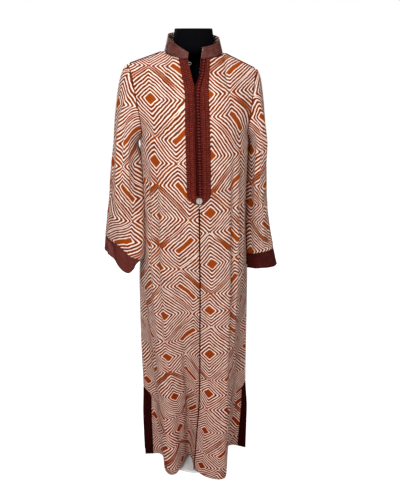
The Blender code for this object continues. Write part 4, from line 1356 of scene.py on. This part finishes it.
def make_collar():
    outside = collar_grid((BAND_WALL - SATIN_WALL) / 2)
    mesh = grid_mesh("collar_satin", outside, True, band_places(outside))
    piece = add_cloth(mesh, SATIN_WALL, SATIN, "satin", "collar")
    inside = collar_grid(-(BAND_WALL - LINING_WALL) / 2, LINING_SHARE)
    mesh = grid_mesh("collar_lining", inside, True, band_places(inside))
    lining = add_cloth(mesh, LINING_WALL, PRINT, "print")


make_collar()

# %% [markdown]
# ## Vent facings
# Each side seam stops above the hem, and both edges of the vent are bound with satin cut
# to a slant at the top. The bands lie on the panels, so they are made from the panels'
# own points, moved out by a hair.

# %% Facings
FACING_WIDTH = 0.031
FACING_TOP_WIDTH = {(FRONT, LEFT): 0.031, (FRONT, RIGHT): 0.015,
                    (BACK, LEFT): 0.031, (BACK, RIGHT): 0.024}
FACING_TAPER = 1.5
FACING_SLANT = 0.034
FACING_GAP = 0.001
FACING_COLUMNS = 10
FACING_ROWS = 44
LOOK_LEVEL, LOOK_REACH = 0.004, 0.003


def on_panel(face, side, level, distances, lift):
    """Points of a panel's outside at distances from the centre, and their outward ways."""
    levels = [min(max(near, 0.0), 2.0) for near in (level, level - LOOK_LEVEL, level + LOOK_LEVEL)]
    row, below, above = (panel_row(face, side, near) for near in levels)
    length = length_of(row)
    points, unders, overs = (at_distances(line, distances) for line in (row, below, above))
    result = []
    for distance, point, under, over in zip(distances, points, unders, overs):
        low = at_distance(row, max(distance - LOOK_REACH, 0.0))
        high = at_distance(row, min(distance + LOOK_REACH, length))
        out = (high - low).cross(over - under).normalized() * side * face
        depth = panel_depth(face, side, distance, levels[0], length)
        result.append((point + out * (depth + lift), out))
    return result


def make_facings():
    lift = WALL / 2 + FACING_GAP + FACING_WALL / 2
    top = level_of(VENT_TOP_Z)
    for face, face_name in ((FRONT, "front"), (BACK, "back")):
        for side in (LEFT, RIGHT):
            grid = []
            for j in range(FACING_ROWS + 1):
                line = []
                for i in range(FACING_COLUMNS, -1, -1):
                    inset = i / FACING_COLUMNS
                    level = (top - level_of(HEM_Z + FACING_SLANT * inset)) * j / FACING_ROWS
                    length = length_of(panel_row(face, side, level))
                    taper = (j / FACING_ROWS) ** FACING_TAPER
                    wide = lerp(FACING_WIDTH, FACING_TOP_WIDTH[(face, side)], taper)
                    distance = length - wide * inset
                    line.append(on_panel(face, side, level, [distance], lift)[0][0])
                grid.append(line)
            name = "facing_" + face_name + "_" + SIDE_NAME[side]
            columns = [list(column) for column in zip(*grid)]
            places = [list(line) for line in zip(*band_places(columns))]
            mesh = grid_mesh(name + "_satin", grid, side * face == LEFT, places)
            piece = add_cloth(mesh, FACING_WALL, DARK_SATIN, "satin", name)


make_facings()

# %% [markdown]
# ## Braid round the neck
# The trim is rows of flat silk braid sewn side by side on a dark ground. Each row is a
# herringbone of short strands, two to a stitch, and each strand is one small raised leaf
# that is modelled once as a ring of points and repeated down the row.

# %% Braid tables
TRIM_END_Z = 1.0855
TRIM_WIDTH = 0.033
TRIM_TOP_WIDTH = 0.0265
TRIM_TOP_LEVEL = 1.997
BRAID_ROWS = 3
STITCH = 0.0056
ROW_FILL = 0.78
STRAND_HEIGHT = 0.0016
STRAND_FILL = 0.66
STRAND_LEAN = 0.85
STRAND_OFFSET = 0.24
STRAND_SINK = 0.0001
NARROWEST_ROW = 0.0022
TRIM_STEPS = 120
TRIM_END_STEPS = 14


def trim_width(level):
    """The trim is wider below than at the neck and ends in a half circle."""
    above_end = height_of(min(level, 1.0)) - TRIM_END_Z
    full = lerp(TRIM_WIDTH, TRIM_TOP_WIDTH, smooth_step((level - 1.3) / 0.7))
    if above_end >= TRIM_WIDTH or level > 1.0:
        return full
    return math.sqrt(max(0.0, TRIM_WIDTH ** 2 - (TRIM_WIDTH - above_end) ** 2))


def trim_levels():
    low = level_of(TRIM_END_Z)
    end = [low + level_of(HEM_Z + TRIM_WIDTH) * (step / TRIM_END_STEPS) ** 2
           for step in range(1, TRIM_END_STEPS)]
    first = low + level_of(HEM_Z + TRIM_WIDTH)
    body = [lerp(first, TRIM_TOP_LEVEL, step / TRIM_STEPS) for step in range(TRIM_STEPS + 1)]
    return end + body


# %% Trim ground and braid rows
def strand(verts, faces, place, along, across, out, length, width, height):
    """One leaf-shaped raised strand, six sides round and pointed at both ends."""
    base = len(verts)
    for share, wide in ((-0.5, 0.15), (-0.2, 0.8), (0.2, 0.8), (0.5, 0.15)):
        middle = place + along * (share * length)
        for side_share, lift in ((-0.5, 0.0), (0.0, 1.0), (0.5, 0.0)):
            verts.append(middle + across * (side_share * width * wide)
                         + out * (lift * height * (0.35 + 0.65 * wide)))
    for ring in range(3):
        for i in range(2):
            first = base + ring * 3 + i
            faces.append((first, first + 1, first + 4, first + 3))
        faces.append((base + ring * 3 + 2, base + ring * 3, base + ring * 3 + 3, base + ring * 3 + 5))
    faces.append((base + 2, base + 1, base))
    faces.append((base + 9, base + 10, base + 11))


def make_trims():
    lift = WALL / 2 + LAY_GAP + TRIM_WALL / 2
    for side in (LEFT, RIGHT):
        levels = trim_levels()
        count = BRAID_ROWS * 2
        grid, outs = [], []
        for level in levels:
            width = trim_width(level)
            line = on_panel(FRONT, side, level, [width * i / count for i in range(count + 1)], lift)
            grid.append([point for point, out in line])
            outs.append([out for point, out in line])
        name = "trim_" + SIDE_NAME[side]
        mesh = grid_mesh(name + "_ground", grid, side == LEFT, band_places(grid))
        piece = add_cloth(mesh, TRIM_WALL, BRAID_GROUND, "braid", name)
        verts, faces = [], []
        for row in range(BRAID_ROWS):
            column = row * 2 + 1
            path = [line[column] for line in grid]
            stitches = int(length_of(path) / STITCH)
            for stitch in range(stitches):
                add_stitch(verts, faces, grid, outs, path, column, (stitch + 0.5) / stitches)
        add_solid("braid_" + SIDE_NAME[side], verts, faces, BRAID, "braid")


def add_stitch(verts, faces, grid, outs, path, column, share):
    """Two strands that meet in a V on a braid row's middle line."""
    reach = share * length_of(path)
    index = 0
    while index < len(path) - 2 and reach > (path[index + 1] - path[index]).length:
        reach -= (path[index + 1] - path[index]).length
        index += 1
    part = reach / (path[index + 1] - path[index]).length
    place = path[index].lerp(path[index + 1], part)
    up = (path[index + 1] - path[index]).normalized()
    out = outs[index][column]
    across = up.cross(out).normalized()
    width = (grid[index][column + 1] - grid[index][column - 1]).length
    if width < NARROWEST_ROW:
        return
    for way in (-1, 1):
        lean = (across * way + up * STRAND_LEAN).normalized()
        middle = place + across * (way * width * ROW_FILL * STRAND_OFFSET)
        middle += out * (TRIM_WALL / 2 - STRAND_SINK)
        strand(verts, faces, middle, lean, lean.cross(out).normalized(), out,
               width * ROW_FILL * STRAND_FILL, STITCH * STRAND_FILL, STRAND_HEIGHT)


make_trims()

# %% [markdown]
# ## Knot buttons
# A djellaba closes with a row of tiny knots made of the same silk cord, each held by a
# loop from the other side. One knot is a ball of three crossing turns of cord; it is
# modelled once and copied down the seam. Above the point of the V the knots follow the
# right edge alone. Under the loops lies a flat dark strip, a painted shadow of the gap
# between the two front edges.

# %% Seam line and tubes
KNOT_ROW_WIDTH = 0.010
KNOT_ROW_END_Z = 1.112
KNOT_ROW_LIFT = 0.0016
OPENING_LEVEL = 1.55
OPENING_REACH = 0.3
STRIP_OPEN_LEVEL = 1.66
KNOT_PITCH = 0.0078
KNOT_LINE_STEPS = 90


def seam_line(level):
    """Centre of the front opening's right edge, with its across and outward directions."""
    row = panel_row(FRONT, RIGHT, level)
    opening = smooth_step((level - OPENING_LEVEL) / OPENING_REACH)
    start = row[0].lerp(panel_row(FRONT, LEFT, level)[0], 0.5 * (1 - opening))
    across = (at_distance(row, 0.02) - row[0]).normalized()
    up = (panel_row(FRONT, RIGHT, level - 0.01)[0] - row[0]) * -1
    outward = across.cross(up).normalized()
    return start + across * KNOT_ROW_WIDTH * 0.5 * opening, across, outward


def tube(verts, faces, path, radius, sides, closed=False, swell=None):
    """A round tube along a path; swell changes the radius point by point."""
    base, count = len(verts), len(path)
    guide = Vector((0.0, -1.0, 0.2))
    for i, point in enumerate(path):
        after = path[(i + 1) % count] if closed else path[min(i + 1, count - 1)]
        before = path[i - 1] if closed else path[max(i - 1, 0)]
        along = (after - before).normalized()
        first = along.cross(guide).normalized()
        second = first.cross(along).normalized()
        size = radius * (swell[i] if swell else 1.0)
        for step in range(sides):
            turn = math.tau * step / sides
            verts.append(point + first * (size * math.cos(turn)) + second * (size * math.sin(turn)))
    for i in range(count if closed else count - 1):
        for step in range(sides):
            near, far = base + i * sides, base + (i + 1) % count * sides
            after = (step + 1) % sides
            faces.append((near + step, near + after, far + after, far + step))
    if not closed:
        faces.append(tuple(base + step for step in range(sides - 1, -1, -1)))
        faces.append(tuple(base + (count - 1) * sides + step for step in range(sides)))


# %% Knots and loops
KNOT_RADIUS = 0.0027
KNOT_CORD = 0.00095
KNOT_WIDE, KNOT_TALL = 1.30, 0.80
LOOP_CORD = 0.00090
LOOP_STEPS = 8
LOOP_ROOT, LOOP_LONG, LOOP_TALL = 0.0052, 0.0030, 0.0019
KNOT_SPIN = 23.0
# The flat dark strip under the loops is painted shadow of the gap between the two fronts.
SHADOW_STRIP_CLOSED, SHADOW_STRIP_OPEN = (-0.0090, 0.0082), (-0.0050, 0.0082)
SHADOW_STRIP_RISE = 0.0004
KNOT_SIDE = 0.0034
KNOT_RISE = 0.0016
LOOP_RISE = 0.0011
SHADOW_STRIP_THICK = 0.0004


def knot_ball():
    """Points and faces of one knot: a core, and a cord that turns round it three times."""
    verts, faces = [], []
    path = []
    for step in range(36):
        turn = math.tau * step / 36
        swing = math.sin(3.5 * turn) * 0.6
        path.append(Vector((math.cos(turn * 2) * math.cos(swing), math.sin(swing),
                            math.sin(turn * 2) * math.cos(swing))) * (KNOT_RADIUS - KNOT_CORD * 0.5))
    tube(verts, faces, path, KNOT_CORD, 5, closed=True)
    core = []
    for step in range(7):
        core.append(Vector((0.0, lerp(-0.9, 0.9, step / 6) * KNOT_RADIUS * 0.9, 0.0001 * step)))
    swell = [0.25, 0.72, 0.93, 1.0, 0.93, 0.72, 0.25]
    tube(verts, faces, core, KNOT_RADIUS * 0.88, 8, swell=swell)
    return verts, faces


def painted_shadow_strip(path, lines, openings, verts, faces):
    """Adds a flat dark strip under the loops, a closed four-sided strip that is painted shadow of the gap
    between the fronts.
    """
    base = len(verts)
    for place, (_, across, out), opening in zip(path, lines, openings):
        for edge, lift in ((0, -1), (1, -1), (1, 1), (0, 1)):
            reach = lerp(SHADOW_STRIP_CLOSED[edge], SHADOW_STRIP_OPEN[edge], opening)
            verts.append(place + across * reach + out * (lift * SHADOW_STRIP_THICK + SHADOW_STRIP_RISE))
    for row in range(len(path) - 1):
        for step in range(4):
            after = (step + 1) % 4
            near, far = base + row * 4, base + row * 4 + 4
            faces.append((near + step, near + after, far + after, far + step))
    faces.append((base + 3, base + 2, base + 1, base))
    faces.append(tuple(len(verts) - 4 + step for step in range(4)))


def make_knot_row():
    lift = WALL / 2 + LAY_GAP + TRIM_WALL + KNOT_ROW_LIFT
    start = level_of(KNOT_ROW_END_Z)
    levels = [lerp(start, TRIM_TOP_LEVEL, step / KNOT_LINE_STEPS) for step in range(KNOT_LINE_STEPS + 1)]
    lines = [seam_line(level) for level in levels]
    openings = [smooth_step((level - STRIP_OPEN_LEVEL) / 0.1) for level in levels]
    path = [point + out * lift for point, across, out in lines]
    total = length_of(path)
    count = int(total / KNOT_PITCH)
    ball_verts, ball_faces = knot_ball()
    stretch = Matrix.Diagonal((KNOT_WIDE, 1.0, KNOT_TALL))
    verts, faces = [], []
    loop_verts, loop_faces = [], []
    for knot in range(count + 1):
        reach = total * knot / count
        index = min(int(KNOT_LINE_STEPS * knot / count), KNOT_LINE_STEPS)
        across, out = lines[index][1], lines[index][2]
        place = at_distance(path, reach) + across * KNOT_SIDE
        up = out.cross(across).normalized()
        turn = Matrix((across, -out, up)).transposed()
        base = len(verts)
        spin = Matrix.Rotation(math.radians(KNOT_SPIN * (knot % 7)), 3, "Y")
        seat = place + out * KNOT_RISE
        verts += [seat + turn @ (stretch @ (spin @ point)) for point in ball_verts]
        faces += [tuple(base + i for i in face) for face in ball_faces]
        for way in (-1, 1):
            if way == -1 and openings[index] > 0.5:
                continue
            loop = []
            for step in range(LOOP_STEPS + 1):
                angle = math.pi * step / LOOP_STEPS
                loop.append(place + across * (way * (LOOP_ROOT - LOOP_LONG * math.sin(angle)))
                            + up * (LOOP_TALL * math.cos(angle)) + out * LOOP_RISE)
            tube(loop_verts, loop_faces, loop, LOOP_CORD, 5)
    print("knots:", count + 1)
    add_solid("knot_buttons", verts, faces, KNOT_SILK, "cord", "knot_row")
    # The dark strip goes into the loops' piece as painted shadow.
    painted_shadow_strip(path, lines, openings, loop_verts, loop_faces)
    add_solid("button_loops_and_shadow_strip", loop_verts, loop_faces, SILK_CORD, "cord")


make_knot_row()

# %% [markdown]
# ## Disc, wire eye and hook
# A small cast disc covers the end of the trim: a coin with a scalloped rim, a sunk ring
# and one line down its middle. A round plate is added as a primitive, its face is inset
# and pushed in, and its rim is bevelled. The wire eye at the neck is one bent ring, and
# its wire hook is sewn to the right end of the collar.

# %% Disc
DISC_Z = 1.0975
DISC_RADIUS = 0.0088
DISC_THICK = 0.0045
DISC_INSETS = ((0.0016, 0.0), (0.0005, -0.0006), (0.0012, 0.0), (0.0010, 0.0005))
DISC_RIM = 0.0007
DISC_LINE_HALF = 0.0068
DISC_LINE_WIRE = 0.00040
DISC_LINE_RISE = 0.00005
SCALLOPS = 14
SCALLOP_DEPTH = 0.028


def make_disc():
    point, across, out = seam_line(level_of(DISC_Z))
    lift = WALL / 2 + LAY_GAP * 2 + TRIM_WALL + DISC_THICK / 2
    bpy.ops.object.select_all(action="DESELECT")
    bpy.ops.mesh.primitive_cylinder_add(vertices=84, radius=DISC_RADIUS * 0.97, depth=DISC_THICK)
    disc = bpy.context.object
    disc.name = disc.data.name = "disc_cast"
    bpy.ops.object.mode_set(mode="EDIT")
    bpy.ops.mesh.select_all(action="DESELECT")
    shape = bmesh.from_edit_mesh(disc.data)
    for face in shape.faces:
        face.select_set(face.normal.z > 0.9)
    bmesh.update_edit_mesh(disc.data)
    for width, depth in DISC_INSETS:
        bpy.ops.mesh.inset(thickness=width, depth=depth)
    bpy.ops.object.mode_set(mode="OBJECT")
    for vertex in disc.data.vertices:
        place = vertex.co
        reach = math.hypot(place.x, place.y)
        if reach > DISC_RADIUS * 0.9:
            wave = 1.0 + SCALLOP_DEPTH * math.cos(SCALLOPS * math.atan2(place.y, place.x))
            place.x, place.y = place.x * wave, place.y * wave
    rim = disc.modifiers.new("rim", "BEVEL")
    rim.width = DISC_RIM
    rim.segments = 3
    rim.angle_limit = math.radians(50)
    apply_modifier(disc, "rim")
    turn = Matrix((across, out.cross(across).normalized(), out)).transposed().to_4x4()
    disc.data.transform(Matrix.Translation(point + out * lift) @ turn)
    disc.data.materials.append(DISC_METAL)
    disc.data.shade_smooth()
    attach(disc, "root")
    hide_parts("disc_button")
    report(disc)
    return point + out * (lift + DISC_THICK / 2), out.cross(across).normalized(), out


def make_disc_line(top, up, out):
    """The dark line down the disc's middle: a thin wire laid in its face."""
    path = [top + up * lerp(-DISC_LINE_HALF, DISC_LINE_HALF, step / 10) + out * DISC_LINE_RISE
            for step in range(11)]
    verts, faces = [], []
    tube(verts, faces, path, DISC_LINE_WIRE, 6)
    add_solid("disc_line", verts, faces, SILK_CORD, "cord")


disc_top, disc_up, disc_out = make_disc()
make_disc_line(disc_top, disc_up, disc_out)

# %% Wire eye and hook
EYE_LEVEL = 1.955
EYE_RADIUS = 0.0038
EYE_WIRE = 0.0006
EYE_REACH = 0.0026
EYE_START, EYE_TURN = 200.0, 320.0
EYE_STEPS = 39
EYE_TALL = 0.85
HOOK_Z = 1.4905
HOOK_OUT = 0.0030
HOOK_LINE = (  # drop, out
    (0.0000, 0.0000), (0.0030, 0.0006), (0.0060, 0.0006), (0.0085, 0.0000),
)


def make_eye():
    """The open wire ring at the left edge of the neck."""
    row = panel_row(FRONT, LEFT, EYE_LEVEL)
    across = (row[0] - at_distance(row, 0.01)).normalized()
    centre = row[0] + across * EYE_REACH
    path = []
    for step in range(EYE_STEPS + 1):
        turn = math.radians(EYE_START + EYE_TURN * step / EYE_STEPS)
        path.append(centre + Vector((math.cos(turn), 0.0, math.sin(turn) * EYE_TALL)) * EYE_RADIUS)
    verts, faces = [], []
    tube(verts, faces, path, EYE_WIRE, 8)
    add_solid("wire_eye", verts, faces, STEEL, "metal", "eye_loop")


def make_hook():
    """The small wire hook sewn to the collar's right end."""
    turn = math.radians(COLLAR[-1][0] - COLLAR_SLANT)
    front = Vector((math.sin(turn), math.cos(turn), 0.0))
    base = front * (COLLAR[-1][2] + HOOK_OUT)
    path = [base + front * out + Vector((0.0, 0.0, HOOK_Z - drop)) for drop, out in HOOK_LINE]
    verts, faces = [], []
    tube(verts, faces, through(path, 24), EYE_WIRE, 8)
    add_solid("wire_hook", verts, faces, STEEL, "metal")


make_eye()
make_hook()

# %% [markdown]
# ## Seam cords and piping
# A dark cord covers the centre seam below the disc, the shoulders, the sides and the
# armholes. It is two twisted plies, so its outline is beaded: the tube's radius swells
# and narrows every few millimetres.

# %% Cords
BEAD = 0.0042
BEAD_SWELL = 0.06
SIDE_CORD, CENTRE_CORD, ARMHOLE_CORD = 0.7, 1.55, 0.8
CORD_HEM_GAP = 0.002
CORD_TRIM_GAP = 0.012
CORD_VENT_GAP = 0.004
SIDE_CORD_END_LEVEL = 0.985
SHOULDER_CORD_SHARES = (0.10, 0.5, 0.96)
ARMHOLE_CORD_SINK = 0.0012


def beaded(path, radius):
    """A finer path, and the radius of a twisted cord at each of its points."""
    total = length_of(path)
    count = max(8, int(total / BEAD * 4))
    radii = [radius * (1.0 + BEAD_SWELL * math.cos(math.tau * total * step / count / BEAD))
             for step in range(count + 1)]
    return evenly(path, count), radii


def make_cord(name, path, node=None, radius=CORD_RADIUS, silk=PIPING):
    fine, radii = beaded(path, radius)
    verts, faces = [], []
    tube(verts, faces, fine, 1.0, 8, swell=radii)
    add_solid(name, verts, faces, silk, "cord", *([node] if node else []))
    print(name, "length", round(length_of(path), 3), "m")


def make_cords():
    lift = WALL / 2 + LAY_GAP + CORD_RADIUS
    centre_lift = lift + CORD_RADIUS * (CENTRE_CORD - 1.0)
    start, end = level_of(HEM_Z + CORD_HEM_GAP), level_of(TRIM_END_Z - CORD_TRIM_GAP)
    path = []
    for step in range(121):
        point, across, out = seam_line(lerp(start, end, step / 120))
        path.append(point + out * centre_lift)
    make_cord("centre_piping", path, "centre_cord", CORD_RADIUS * CENTRE_CORD, CENTRE_SILK)
    for side in (LEFT, RIGHT):
        name = SIDE_NAME[side]
        tip = Vector((ARMHOLE[side][-1][0], 0.0, ARMHOLE[side][-1][3]))
        neck = NECK_POINT[side]
        up = Vector((0, 0, WALL / 2 + CORD_RADIUS))
        path = [neck.lerp(tip, share) + up for share in SHOULDER_CORD_SHARES]
        make_cord("shoulder_piping_" + name, path, "shoulder_cord_" + name)
        path = []
        for step in range(61):
            level = lerp(level_of(VENT_TOP_Z + CORD_VENT_GAP), SIDE_CORD_END_LEVEL, step / 60)
            front, back = panel_row(FRONT, side, level), panel_row(BACK, side, level)
            between = front[-1].lerp(back[-1], 0.5)
            way = (between - front[-4]).normalized() + (between - back[-4]).normalized()
            way += Vector((side * 0.5, 0.0, 0.0))
            path.append(between + way.normalized() * (lift - CORD_RADIUS * (1.0 - SIDE_CORD)))
        make_cord("side_piping_" + name, path, "side_cord_" + name, CORD_RADIUS * SIDE_CORD)
        ring = armhole_ring(side)
        middle = sum(ring, Vector()) / len(ring)
        path = []
        for point in ring[6:-5]:
            way = point - middle
            way.x = 0.0
            path.append(point + way.normalized() * (WALL / 2 + CORD_RADIUS * 0.6)
                        - Vector((side * ARMHOLE_CORD_SINK, 0, 0)))
        make_cord("armhole_piping_" + name, path, radius=CORD_RADIUS * ARMHOLE_CORD)


make_cords()

# %% [markdown]
# ## Dress form and stand
# Under the robe stands a limbless form in black jersey, with a flat-topped neck. It is a
# loft through rings, and a finer one here than in the CAD, because the neck shows. The
# pole and the base are simple turned shapes, so the CAD nodes stay and only get paint.

# %% Dress form
FORM_CLEAR = 0.0019
FORM = (  # height, half width, front depth, back depth, tilt
    (0.780, 0.112, 0.088, 0.068, 0.00), (0.786, 0.126, 0.100, 0.080, 0.00),
    (0.810, 0.140, 0.112, 0.090, 0.00), (0.870, 0.144, 0.116, 0.090, 0.00),
    (0.950, 0.132, 0.122, 0.080, 0.00), (1.030, 0.122, 0.132, 0.072, 0.00),
    (1.110, 0.130, 0.150, 0.076, 0.00), (1.180, 0.138, 0.155, 0.082, 0.00),
    (1.250, 0.142, 0.142, 0.086, -0.01), (1.320, 0.146, 0.112, 0.084, -0.02),
    (1.370, 0.154, 0.082, 0.068, -0.03), (1.404, 0.163, 0.050, 0.044, -0.04),
)
FORM_SHOULDER = ((0.168, 0.012, 0.012), (0.150, 0.012, 0.012), (0.115, 0.012, 0.012),
                 (0.086, 0.014, 0.014), (0.074, 0.034, 0.034), (0.062, 0.054, 0.052))
FORM_NECK = ((1.500, 0.057, 0.053), (1.520, 0.0545, 0.052), (1.537, 0.0520, 0.0505),
             (1.539, 0.0505, 0.0490))
FORM_AROUND = 96
FORM_POWER = 0.9


def ring_around(height, half_width, front, back):
    ring = []
    for step in range(FORM_AROUND):
        turn = math.tau * step / FORM_AROUND
        deep = front if math.sin(turn) < 0 else back
        x = half_width * math.copysign(abs(math.cos(turn)) ** FORM_POWER, math.cos(turn))
        y = deep * math.copysign(abs(math.sin(turn)) ** FORM_POWER, math.sin(turn))
        ring.append(Vector((x, y, height)))
    return ring


def shoulder_height(side, half_width):
    """Height of the form's shoulder, just under the shoulder seam."""
    neck, tip = NECK_POINT[side], ARMHOLE[side][-1]
    share = max(0.0, (half_width - abs(neck.x)) / (abs(tip[0]) - abs(neck.x)))
    return lerp(neck.z, tip[3], share) - FORM_CLEAR


def make_form():
    rings = []
    for height, half_width, front, back, tilt in FORM:
        ring = ring_around(height, half_width, front, back)
        for point in ring:
            point.y += SIDE_Y * 0.5
            point.z += tilt * point.x
        rings.append(ring)
    for half_width, front, back in FORM_SHOULDER:
        left, right = shoulder_height(LEFT, half_width), shoulder_height(RIGHT, half_width)
        ring = ring_around(0.0, half_width, front, back)
        for point in ring:
            point.z = lerp(left, right, 0.5 + 0.5 * point.x / half_width)
        rings.append(ring)
    for height, half_width, half_depth in FORM_NECK:
        rings.append(ring_around(height, half_width, half_depth, half_depth))
    mesh = grid_mesh("form_body", rings, False, closed=True)
    shape = bmesh.new()
    shape.from_mesh(mesh)
    shape.verts.ensure_lookup_table()
    shape.faces.new([shape.verts[i] for i in range(FORM_AROUND)])
    shape.faces.new([shape.verts[len(shape.verts) - 1 - i] for i in range(FORM_AROUND)])
    shape.to_mesh(mesh)
    shape.free()
    outward_normals(mesh)
    report(add_piece("form_body", mesh, JERSEY, "form", "form"))


make_form()
for node, material in (("stand_pole", STEEL), ("stand_base", LACQUER)):
    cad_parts[node].data.materials[0] = material

# %% [markdown]
# ## Floor, light and camera
# The photograph is a cut-out on white, so the world and the floor look white to the
# camera and give the robe only a weak, warm light. Three soft lamps in front, one above
# and one behind shape the folds on every side. The camera stands a little above shoulder
# height and looks down, which makes the hem smaller.

# %% Floor
FLOOR_GLOW = 0.92
bpy.ops.object.select_all(action="DESELECT")
bpy.ops.mesh.primitive_plane_add(size=40.0, location=(0, 8, 0))
floor = bpy.context.object
floor.name = "studio_floor"
floor_paint, floor_tree, floor_shader = start_material("studio floor", 0.9, specular=0.0)
floor_shader.inputs["Base Color"].default_value = (0.55, 0.55, 0.55, 1.0)
floor_shader.inputs["Emission Color"].default_value = (1.0, 1.0, 1.0, 1.0)
floor_seen = floor_tree.nodes.new("ShaderNodeLightPath").outputs["Is Camera Ray"]
floor_glow = sum_of(floor_tree, "MULTIPLY", floor_seen, FLOOR_GLOW)
floor_tree.links.new(floor_glow, floor_shader.inputs["Emission Strength"])
floor.data.materials.append(floor_paint)


# %% Light
def add_lamp(name, place, target, size, power):
    lamp = bpy.data.lights.new(name, "AREA")
    lamp.size = size
    lamp.energy = power
    made = bpy.data.objects.new(name, lamp)
    made.location = place
    made.rotation_euler = (Vector(target) - Vector(place)).to_track_quat("-Z", "Y").to_euler()
    bpy.context.scene.collection.objects.link(made)


add_lamp("key", (-0.9, -1.8, 2.6), (0, 0, 1.25), 1.0, 54.0)
add_lamp("fill", (1.3, -1.9, 2.3), (0, 0, 1.3), 1.2, 20.0)
add_lamp("top", (0.2, 0.9, 2.9), (0, 0, 1.0), 1.2, 16.0)
add_lamp("back", (-0.9, 2.3, 2.2), (0, 0, 0.9), 1.4, 34.0)
add_lamp("low", (-0.2, -1.9, 0.6), (0, 0, 0.35), 1.2, 3.5)
world = bpy.data.worlds.new("studio")
bpy.context.scene.world = world
world.use_nodes = True
sky = world.node_tree
soft_light = sky.nodes["Background"]
soft_light.inputs["Strength"].default_value = 0.17
soft_light.inputs["Color"].default_value = (1.0, 0.90, 0.84, 1.0)
backdrop = sky.nodes.new("ShaderNodeBackground")
backdrop.inputs["Strength"].default_value = 1.0
backdrop.inputs["Color"].default_value = (1.0, 1.0, 1.0, 1.0)
seen = sky.nodes.new("ShaderNodeLightPath")
both = sky.nodes.new("ShaderNodeMixShader")
sky.links.new(seen.outputs["Is Camera Ray"], both.inputs["Fac"])
sky.links.new(soft_light.outputs["Background"], both.inputs[1])
sky.links.new(backdrop.outputs["Background"], both.inputs[2])
sky.links.new(both.outputs["Shader"], sky.nodes["World Output"].inputs["Surface"])
bpy.context.scene.view_settings.view_transform = "Standard"

# %% Camera
CAMERA_PLACE = (-0.121, -1.525, 1.55)
CAMERA_TURN = (66.1, 0.0, -4.8)
camera_data = bpy.data.cameras.new("camera")
camera_data.lens = 36.72
camera_data.sensor_width = 36.0
camera_data.shift_x = 0.008
camera = bpy.data.objects.new("camera", camera_data)
camera.location = CAMERA_PLACE
camera.rotation_euler = tuple(math.radians(angle) for angle in CAMERA_TURN)
bpy.context.scene.collection.objects.link(camera)
bpy.context.scene.camera = camera

# %% [markdown]
# ## Checks of the clearances, and the end
# Cloth that passes through cloth shows at once from the side, so pieces that lie close
# together are tested for crossing faces.

# %% Clearances
def tree_of(name):
    mesh = bpy.data.objects[name].data
    return BVHTree.FromPolygons([v.co for v in mesh.vertices], [p.vertices for p in mesh.polygons])


NEIGHBOURS = (("front_left_cloth", "form_body"), ("front_right_cloth", "form_body"),
              ("back_cloth", "form_body"), ("front_left_cloth", "front_right_cloth"),
              ("front_left_cloth", "back_cloth"), ("front_right_cloth", "back_cloth"),
              ("sleeve_left_cloth", "front_left_cloth"), ("sleeve_left_cloth", "back_cloth"),
              ("sleeve_right_cloth", "front_right_cloth"), ("sleeve_right_cloth", "back_cloth"),
              ("sleeve_left_cloth", "side_piping_left"), ("sleeve_right_cloth", "side_piping_right"),
              ("sleeve_left_cloth", "cuff_left_band"), ("sleeve_right_cloth", "cuff_right_band"),
              ("collar_lining", "form_body"), ("collar_satin", "collar_lining"),
              ("front_left_cloth", "facing_front_left_satin"), ("back_cloth", "facing_back_left_satin"),
              ("front_right_cloth", "facing_front_right_satin"), ("back_cloth", "facing_back_right_satin"),
              ("front_left_cloth", "trim_left_ground"), ("front_right_cloth", "trim_right_ground"))
names = {name for pair in NEIGHBOURS for name in pair}
trees = {name: tree_of(name) for name in names}
for first, second in NEIGHBOURS:
    crossings = trees[first].overlap(trees[second])
    if crossings:
        print("crossing:", first, second, len(crossings))
print("neighbours checked:", len(NEIGHBOURS))
